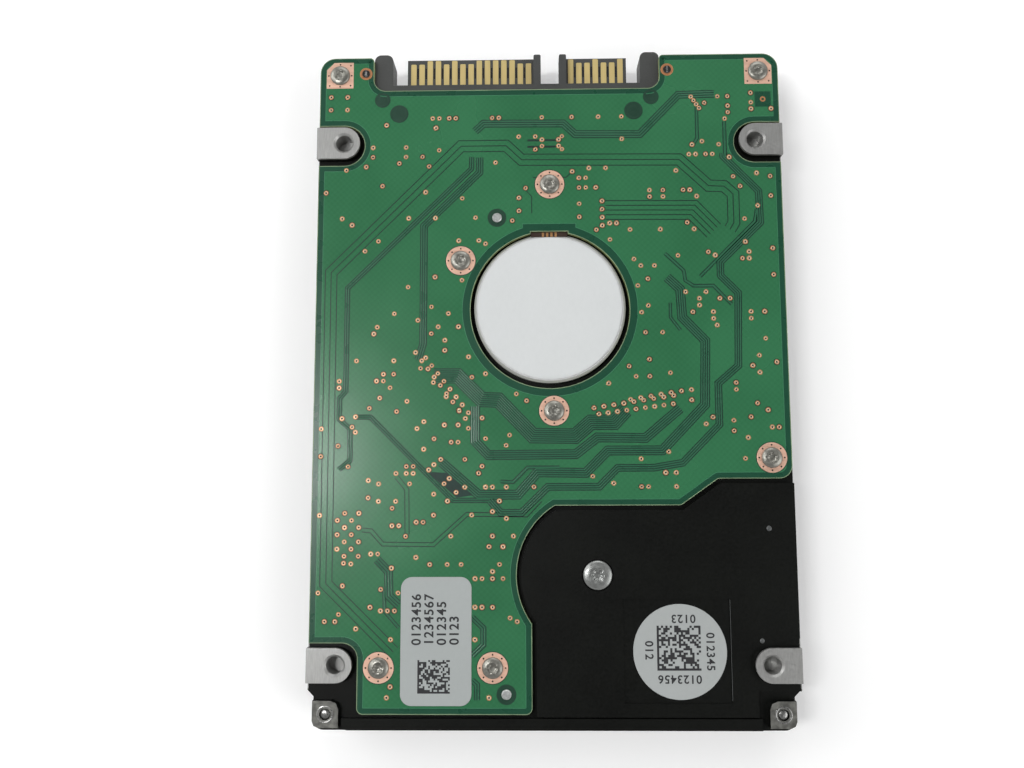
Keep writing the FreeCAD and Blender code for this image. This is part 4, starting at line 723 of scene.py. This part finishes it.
def via_places():
    places = [(x, y) for y, row in VIA_ROWS for x in row]
    # the staggered field at the lower left
    for k in range(7):
        first = -29.85 if k % 2 == 0 else -30.9
        for i in range(2):
            places.append((first + 2.05 * i, -19.7 - 1.02 * k))
    places += [(-29.9, -26.8), (-28.85, -26.9)]
    # one at the left end of each wide-pitch track, and the cluster where the tracks end near the right tab
    for k in range(4):
        places.append((7.9, 26.4 - 1.25 * k))
        places.append((21.5 + 0.4 * k, 42.5 - 0.6 * k))
    # round and in the dark island, and where the left-hand tracks turn
    places += [(-16.0, -12.0), (-17.0, -12.75), (-17.75, -13.5), (-15.5, -15.5), (-14.75, -14.75),
               (-12.5, -16.0), (-13.75, -16.75), (-28.5, -5.75), (-30.5, -6.0), (-29.0, -7.25), (-28.5, -8.0)]
    # the two fields where the tracks fan out beside the motor
    for k in range(9):
        places.append((-19.8 + 0.92 * k, 3.7 - 1.22 * k))
        if k < 8:
            places.append((-18.3 + 0.9 * k, 2.9 - 1.16 * k))
        if k % 2:
            places.append((-20.0 + 0.95 * k, 2.4 - 1.05 * k))
    for k in range(9):
        places.append((6.3 + 1.45 * k, -4.6 + 0.22 * k))
        places.append((7.0 + 1.35 * k, -5.5 + 0.18 * k))
        if k > 2:
            places.append((7.2 + 1.48 * k, -4.1 + 0.24 * k))
    return places


SCREW_CORNER = (31.7, 46.45)
HOLD_DOWNS = ((-27.74, 46.68), (18.01, 46.84))
LOCATING_PINS = ((-7.8, 23.96), (-6.55, -45.05))
PEG_HOLES = ((-25.15, 42.47, 0.9), (-22.6, 40.27, 1.1), (15.49, 42.57, 0.9), (12.84, 40.43, 1.1))
SCREW_CLEARANCE = 2.6
SCREW_PADS = ((0.1, 29.05), (-13.2, 17.45), (0.5, -4.98), (31.8, -11.9), (-24.7, -41.4), (-8.5, -41.4))


def board_vias():
    """Plated holes: a copper ring with a bead of solder mask round it, and a dark disc in the drilled middle
    as painted shade.
    """
    rings, lips, halos, holes = Heap(), Heap(), Heap(), Heap()
    for x, y in via_places():
        if any((x - px) ** 2 + (y - py) ** 2 < SCREW_CLEARANCE ** 2 for px, py in SCREW_PADS):
            continue
        ring = rng.uniform(0.34, 0.39)
        z = SKIN + 0.008
        if rng.random() < 0.45:
            halos.disc(x, y, ring + 0.13, z - 0.001)
        lips.lathe(x, y, ((ring, z), (ring - 0.04, z + 0.012), (ring - 0.13, z + 0.012)))
        rings.lathe(x, y, ((ring - 0.11, z + 0.006), (ring - 0.14, z + 0.024), (0.18, z + 0.024),
                           (0.15, z + 0.004)))
        # painted shade: a dark disc where the hole's depth is
        holes.disc(x, y, 0.17, z + 0.005)
    on_board(halos, "via_mask_rings", "halo")
    on_board(rings, "via_rings", "tinned")
    on_board(lips, "via_lips", "ring")
    on_board(holes, "via_hole_shade", "hole")


PAD_HOLE = 0.13


def board_pads():
    """Bare copper with small plated holes at each screw, and the rings and hollows round pins and pegs."""
    pads, holes, rings, halos = Heap(), Heap(), Heap(), Heap()
    z = SKIN + 0.006
    for x, y in SCREW_PADS:
        halos.disc(x, y, 2.3, z - 0.003, 40)
        pads.lathe(x, y, ((2.18, z - 0.001), (2.15, z + 0.01), (1.1, z + 0.01)), 40)
        for hole_x, hole_y in circle(x, y, 1.83, 8):
            # dark discs for the small holes: painted shade
            holes.disc(hole_x, hole_y, PAD_HOLE, z + 0.012, 12)
    for side in (-1, 1):
        x, y = SCREW_CORNER[0] * side, SCREW_CORNER[1]
        corners = [(-2.05, -2.05), (2.05, -2.05), (2.05, 2.05), (-0.9, 2.05), (-2.05, 0.9)]
        outer = [(x - side * a, y + b, z + 0.01) for a, b in corners]
        order = range(len(outer))
        pads.add(outer, [tuple(order if side < 0 else reversed(order))])
        for a, b in ((-1.6, -1.6), (0, -1.75), (1.6, -1.6), (1.75, 0), (1.6, 1.6), (-1.75, 0), (0, 1.75)):
            # dark discs for the small holes: painted shade
            holes.disc(x - side * a, y + b, PAD_HOLE, z + 0.012, 12)
    for x, y in LOCATING_PINS:
        halos.lathe(x, y, ((1.4, z), (0.72, z)), 32)
    for x, y in HOLD_DOWNS:
        rings.lathe(x, y, ((0.97, z), (0.94, z + 0.02), (0.62, z + 0.02)), 28)
    for x, y, r in PEG_HOLES:
        hollow = ((r + 0.3, z), (r, z), (r - 0.1, z - 0.01), (0.5 * r, z - 0.005), (0.0, z - 0.02))
        halos.lathe(x, y, hollow, 28)
    on_board(halos, "pad_mask_rings", "halo")
    on_board(pads, "screw_pads", "pad")
    on_board(rings, "hold_down_rings", "ring")
    on_board(holes, "pad_hole_shade", "hole")


def board_extras():
    """A dark locating square near one corner, with a copper mark in it."""
    dark, ring = Heap(), Heap()
    dark.rectangle(31.1, 40.8, 33.5, 43.2, SKIN + 0.003)
    ring.lathe(32.3, 42.0, ((0.42, SKIN + 0.005), (0.4, SKIN + 0.02), (0.2, SKIN + 0.02)), 20)
    on_board(dark, "locating_square", "border")
    on_board(ring, "locating_mark", "ring")


def flex_stripes():
    """The copper tracks that show at the top of the motor's ribbon."""
    top = top_of("motor_flex")
    stripes = Heap()
    for k in range(4):
        x = -0.95 + 0.63 * k
        stripes.box(x - 0.17, 21.02, x + 0.17, 21.68, top + 0.0005, top + 0.01)
    stripes.piece("motor_flex_tracks", EXTRA["stripe"], slot="motor_flex")


FILM_HALF = 0.05
FLEX_TRACKS = 7
# from the arm's axis, in mm
FLEX_ROUTE = ((-4.6, -4.2), (-8.2, -6.0), (-11.4, -8.4), (-12.6, -12.3))


def along_route(points, steps):
    """Evenly numbered places on a smooth curve through a few points."""
    ends = [2 * Vector(points[0]) - Vector(points[1])] + [Vector(p) for p in points]
    ends.append(2 * ends[-1] - ends[-2])
    out = []
    for i in range(1, len(ends) - 2):
        a, b, c, d = ends[i - 1:i + 3]
        for k in range(steps):
            t = k / steps
            out.append(0.5 * (2 * b + (c - a) * t + (2 * a - 5 * b + 4 * c - d) * t * t
                              + (3 * b - a - 3 * c + d) * t ** 3))
    out.append(ends[-2])
    return [(p.x, p.y) for p in out]


def flex_wall(heap, route, near, far, low, high):
    """A closed strip standing on edge along a route, between two distances from it."""
    left, right = shifted(route, far), shifted(route, near)
    count = len(route)
    rows = ((left, low), (left, high), (right, high), (right, low))
    points = [(x, y, z) for side, z in rows for x, y in side]
    faces = []
    for k in range(4):
        for i in range(count - 1):
            a, b = k * count, ((k + 1) % 4) * count
            faces.append((a + i, b + i, b + i + 1, a + i + 1))
    last = count - 1
    faces += [(0, 3 * count, 2 * count, count), (last, count + last, 2 * count + last, 3 * count + last)]
    heap.add(points, faces)


def head_ribbon():
    """The ribbon from the arm to its bracket, with its copper tracks."""
    low, high = (corner.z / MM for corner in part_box("actuator_flex"))
    ends = [(PIVOT_AXIS[0] + x, PIVOT_AXIS[1] + y) for x, y in FLEX_ROUTE]
    route = along_route(ends, 12)
    film, tracks = Heap(), Heap()
    flex_wall(film, route, -FILM_HALF, FILM_HALF, low, high)
    for k in range(FLEX_TRACKS):
        z = low + 0.3 + 0.33 * k
        flex_wall(tracks, route, FILM_HALF, FILM_HALF + 0.008, z, z + 0.16)
    for heap, name, finish in ((film, "head_ribbon_film", NODE_FINISHES["actuator_flex"]),
                               (tracks, "head_ribbon_tracks", EXTRA["stripe"])):
        made = loose_piece(name, heap, finish)
        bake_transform(made)
    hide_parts("actuator_flex")


def screw_head(heap, x, y, radius, low, high, socket, depth, turn=0.0, sides=48):
    """A domed screw head with a six-lobed socket."""
    dome = 0.25 * (high - low)
    # size, height, and whether the row follows the socket's lobes
    rows = (
        (0.0, high - depth - 0.03, False),
        (socket * 0.55, high - depth, False),
        (1.0, high - depth + 0.02, True),
        (1.03, high - 0.03, True),
        (1.12, high, True),
        (radius * 0.62, high - dome * 0.25, False),
        (radius * 0.86, high - dome, False),
        (radius * 0.97, high - dome * 2.1, False),
        (radius, high - dome * 3.0, False),
        (radius, low, False),
    )
    points = []
    for size, z, lobed in rows:
        for i in range(sides):
            a = 2 * math.pi * i / sides
            r = size * socket * (1 + 0.15 * math.cos(6 * a + turn)) if lobed else size
            points.append((x + r * math.cos(a), y + r * math.sin(a), z))
    faces = []
    for k in range(len(rows) - 1):
        for i in range(sides):
            j = (i + 1) % sides
            faces.append((k * sides + i, (k + 1) * sides + i, (k + 1) * sides + j, k * sides + j))
    heap.add(points, faces)


BOARD_SCREWS = SCREW_PADS + ((-SCREW_CORNER[0], SCREW_CORNER[1]), SCREW_CORNER)
BOARD_SCREW_RADIUS = 1.49
PIVOT_SCREW_RADIUS = 2.09
PIVOT_HEAD_HEIGHT = 0.42


def screws():
    """The eight board screws and the pivot screw, with their sockets."""
    heads = Heap()
    low, high = under_of("board_screws"), top_of("board_screws")
    for k, (x, y) in enumerate(BOARD_SCREWS):
        screw_head(heads, x, y, BOARD_SCREW_RADIUS, BOARD_TOP + 0.001, high, 0.62, 0.30, turn=k * 1.3)
        heads.lathe(x, y, ((0.8, BOARD_TOP), (0.8, low)), 20)
    made = heads.piece("board_screws_fine", NODE_FINISHES["board_screws"], slot="board_screws", smooth=True)
    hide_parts("board_screws")
    pivot = Heap()
    x, y, top = middle("pivot_screw")
    seat = top - PIVOT_HEAD_HEIGHT
    screw_head(pivot, x, y, PIVOT_SCREW_RADIUS, seat, top, 0.72, 0.38, turn=0.6)
    pivot.lathe(x, y, ((1.15, seat), (1.15, under_of("pivot_screw"))), 24)
    made = pivot.piece("pivot_screw_fine", NODE_FINISHES["pivot_screw"], slot="pivot_screw", smooth=True)
    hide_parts("pivot_screw")


CONTACT_PITCH = 1.27
CONTACT_ROWS = ((-20.75, 15), (3.55, 7))


def connector_details():
    """Painted shade as dark strips in the slots between the contacts and dark discs round the hold-downs, and
    the hold-downs' slotted tails.
    """
    slots, bars = Heap(), Heap()
    top = under_of("power_contacts") + 0.004
    for first, count in CONTACT_ROWS:
        for k in range(count - 1):
            x = first + CONTACT_PITCH * (k + 0.5)
            # a dark strip between two contacts: painted shade in the slot
            slots.box(x - 0.13, 46.9, x + 0.13, 48.6, top - 0.003, top)
    for x, y in HOLD_DOWNS:
        z = top_of("connector_hold_downs")
        # a dark disc round the tail: painted shade in its slot
        slots.disc(x, y, 0.58, z + 0.002, 24)
        bars.box(x - 0.16, y - 0.5, x + 0.16, y + 0.5, z + 0.002, z + 0.05)
    slots.piece("contact_slot_shade", EXTRA["gap_shade"], slot="connector_housing")
    bars.piece("hold_down_tails", EXTRA["bright"], slot="connector_hold_downs")


def casting_details():
    """Screw ends in the two rear lugs, two ejector marks and the lit edge of the label recess."""
    tips, marks, edge = Heap(), Heap(), Heap()
    for side in (-1, 1):
        x, y = side * 32.15, -47.75
        tips.lathe(x, y, ((1.2, 9.105), (1.12, 9.13), (1.0, 9.11), (0.82, 9.03)), 32)
        tips.lathe(x, y, ((0.79, 8.6), (0.74, 8.78), (0.55, 8.88), (0.25, 8.93), (0.0, 8.94)), 32)
    for x, y, r in ((31.1, -22.0, 0.38), (29.6, -37.7, 0.34)):
        marks.lathe(x, y, ((r, 8.705), (r * 0.8, 8.76), (r * 0.4, 8.79), (0.0, 8.8)), 20)
    # a thin lighter strip along the recess's right edge: a painted highlight standing for its lit edge
    edge.box(25.18, -45.9, 25.24, -32.0, 8.7, 8.72)
    tips.piece("lug_screw_ends", EXTRA["steel"], slot="cover_screws", smooth=True)
    marks.piece("ejector_marks", EXTRA["wear_and_highlight"], slot="base_casting", smooth=True)
    edge.piece("recess_painted_highlight", EXTRA["wear_and_highlight"], slot="base_casting")


screws()
connector_details()
casting_details()
board_border()
board_traces()
board_vias()
board_pads()
board_extras()
flex_stripes()
head_ribbon()


# ---------------------------------------------------------------- labels


def text_piece(name, text, x, y, z, size, turn, spacing, below=False):
    """Generic figures printed on a label, as flat shapes."""
    curve = bpy.data.curves.new(name, "FONT")
    curve.body = text
    curve.size = size * MM
    curve.align_x = "CENTER"
    curve.align_y = "CENTER"
    curve.offset = 0.02 * size * MM
    curve.space_character = spacing
    holder = placed(name + "_curve", curve)
    bpy.context.view_layer.update()
    mesh = bpy.data.meshes.new_from_object(holder.evaluated_get(bpy.context.evaluated_depsgraph_get()))
    bpy.data.objects.remove(holder)
    flip = Matrix.Rotation(math.pi, 4, "Y") if below else Matrix.Identity(4)
    place = Matrix.Translation((x * MM, y * MM, z * MM))
    mesh.transform(place @ Matrix.Rotation(math.radians(turn), 4, "Z") @ flip)
    mesh.materials.clear()
    mesh.materials.append(EXTRA["ink"])
    piece = placed(name, mesh)
    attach(piece, "enclosure")


def dot_field(name, label, x, y, z, size, count):
    """A generic square of printed dots, seeded, that encodes nothing."""
    dots = Heap()
    step = size / count
    for i in range(count):
        for k in range(count):
            if i == 0 or k == 0 or rng.random() < 0.5:
                x0 = x - size / 2 + i * step
                y0 = y - size / 2 + k * step
                dots.rectangle(x0, y0, x0 + step, y0 + step, z)
    dots.piece(name, EXTRA["ink"], slot=label)


def bar_field(heap, x, y, z, width, height):
    """A row of bars of seeded widths that encodes nothing, facing down."""
    at = x
    while at < x + width:
        bar = rng.choice((0.2, 0.2, 0.4, 0.6))
        heap.rectangle(at, y, at + bar, y + height, z, facing_down=True)
        at += bar + rng.choice((0.2, 0.4, 0.6))


PRINTING_ROOM = 0.004


def cover_sticker():
    """The cover's label again, thinner by a hair, so that the printing on it stays inside the drive's box."""
    node = frame["nodes"]["cover_label"]
    mesh = node.data.copy()
    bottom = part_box("cover_label")[0].z
    for vertex in mesh.vertices:
        if vertex.co.z < bottom + 0.01 * MM:
            vertex.co.z = bottom + PRINTING_ROOM * MM
    piece = placed("cover_sticker", mesh)
    piece.matrix_world = node.matrix_world
    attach(piece, "enclosure")
    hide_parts("cover_label")


def cover_printing():
    """Generic figures, bars and rules on the large label of the cover side, in rows from the front."""
    low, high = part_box("cover_label")
    left, right = low.x / MM + 3.0, high.x / MM - 3.0
    front = high.y / MM
    under = low.z / MM + 0.001
    rows = Heap()
    for k in range(3):
        y = front - 8.0 - 7.5 * k
        bar_field(rows, left, y, under, 30.0 - 6.0 * k, 3.2)
        text_piece(f"cover_label_line_{k}", "0123456789"[k:], right - 12.0, y + 1.6, under,
                   2.6, 0, 1.1, below=True)
    for y, height in ((front - 29.0, 0.25), (low.y / MM + 22.0, 0.25), (low.y / MM + 5.0, 0.7)):
        rows.rectangle(left, y, right, y + height, under, facing_down=True)
    for k in range(4):
        text_piece(f"cover_label_note_{k}", "0123456 01234 0123", left + 13.0,
                   low.y / MM + 14.4 - 2.1 * k, under, 1.5, 0, 1.1, below=True)
    rows.piece("cover_label_printing", EXTRA["ink"], slot="cover_label")


PRINT_LIFT = 0.002
BOARD_LABEL_LINES = (("0123456", -34.7), ("1234567", -34.7), ("012345", -35.2), ("0123", -36.2))
ROUND_LABEL_LINES = (("0123", 0.55, 4.6, 180), ("0123456", -0.1, -3.75, 180), ("012345", 4.25, 0.0, 270),
                     ("012", -4.4, 0.2, 270))


def labels():
    """Generic figures and dot squares on the two labels that show beside and on the board."""
    x, y, top = middle("board_label")
    z = top + PRINT_LIFT
    for k, (text, line_y) in enumerate(BOARD_LABEL_LINES):
        line_x = x - 2.75 + 1.8 * k
        text_piece(f"board_label_line_{k}", text, line_x, line_y, z, 1.85, 90, 1.12)
    dot_field("board_label_dots", "board_label", x - 0.3, -42.6, z, 4.6, 18)
    x, y, top = middle("round_label")
    z = top + PRINT_LIFT
    for k, (text, dx, dy, turn) in enumerate(ROUND_LABEL_LINES):
        text_piece(f"round_label_line_{k}", text, x + dx, y + dy, z, 1.6, turn, 1.12)
    dot_field("round_label_dots", "round_label", x - 0.15, y + 0.5, z, 6.2, 20)


labels()
cover_sticker()
cover_printing()


# ---------------------------------------------------------------- floor, light and camera


def area_light(name, place, size, power):
    """A soft rectangular lamp that faces the middle of the frame."""
    lamp = bpy.data.lights.new(name, "AREA")
    lamp.shape = "RECTANGLE"
    lamp.size = size[0]
    lamp.size_y = size[1]
    lamp.energy = power
    holder = placed(name, lamp)
    holder.location = place
    holder.rotation_euler = (-Vector(place)).to_track_quat("-Z", "Y").to_euler()


FLOOR_REACH = 1.5
FLOOR_Z = -0.00002


def studio():
    """A pale floor, a sky that dims towards the top, and four soft lamps."""
    floor_mat = Finish("mat_floor", 0.9, level=0.1)
    fine = floor_mat.noise(30.0, 2.0)
    floor_mat.colour(floor_mat.mix(fine, (0.93, 0.93, 0.93), (0.95, 0.95, 0.95)))
    floor_mat.shader.inputs["Emission Color"].default_value = (1.0, 1.0, 1.0, 1.0)
    floor_mat.shader.inputs["Emission Strength"].default_value = 0.12
    mesh = bpy.data.meshes.new("floor")
    corners = [(x * FLOOR_REACH, y * FLOOR_REACH, FLOOR_Z) for x, y in ((-1, -1), (1, -1), (1, 1), (-1, 1))]
    mesh.from_pydata(corners, [], [(0, 1, 2, 3)])
    mesh.materials.append(floor_mat.mat)
    placed("floor", mesh)
    world = bpy.data.worlds.new("studio")
    world.use_nodes = True
    tree = world.node_tree
    where = tree.nodes.new("ShaderNodeTexCoord")
    split = tree.nodes.new("ShaderNodeSeparateXYZ")
    fade = tree.nodes.new("ShaderNodeMapRange")
    fade.inputs["From Min"].default_value = 0.35
    fade.inputs["From Max"].default_value = 0.9
    fade.inputs["To Min"].default_value = 0.6
    fade.inputs["To Max"].default_value = 0.05
    tree.links.new(where.outputs["Generated"], split.inputs[0])
    tree.links.new(split.outputs[2], fade.inputs["Value"])
    tree.links.new(fade.outputs["Result"], tree.nodes["Background"].inputs[1])
    tree.nodes["Background"].inputs[0].default_value = (1.0, 1.0, 1.0, 1.0)
    bpy.context.scene.world = world
    area_light("key", (-0.178, 0.0, 0.40), (0.05, 0.12), 0.6)
    area_light("left", (-0.55, 0.25, 0.42), (0.5, 0.5), 2.05)
    area_light("right", (0.55, -0.20, 0.42), (0.5, 0.5), 2.0)
    area_light("far", (0.05, 0.65, 0.42), (0.5, 0.4), 1.5)


def camera():
    """Above the drive and a little to its rear left, looking down."""
    data = bpy.data.cameras.new("camera")
    data.lens = 31.64
    data.sensor_width = 36.0
    data.clip_start = 0.005
    data.clip_end = 10.0
    holder = placed("camera", data)
    holder.location = (-0.0031, -0.01576, 0.1397)
    holder.rotation_euler = Euler([math.radians(a) for a in (6.42, 1.13, -0.18)], "XYZ")
    bpy.context.scene.camera = holder


studio()
camera()
bpy.context.scene.view_settings.view_transform = "Standard"
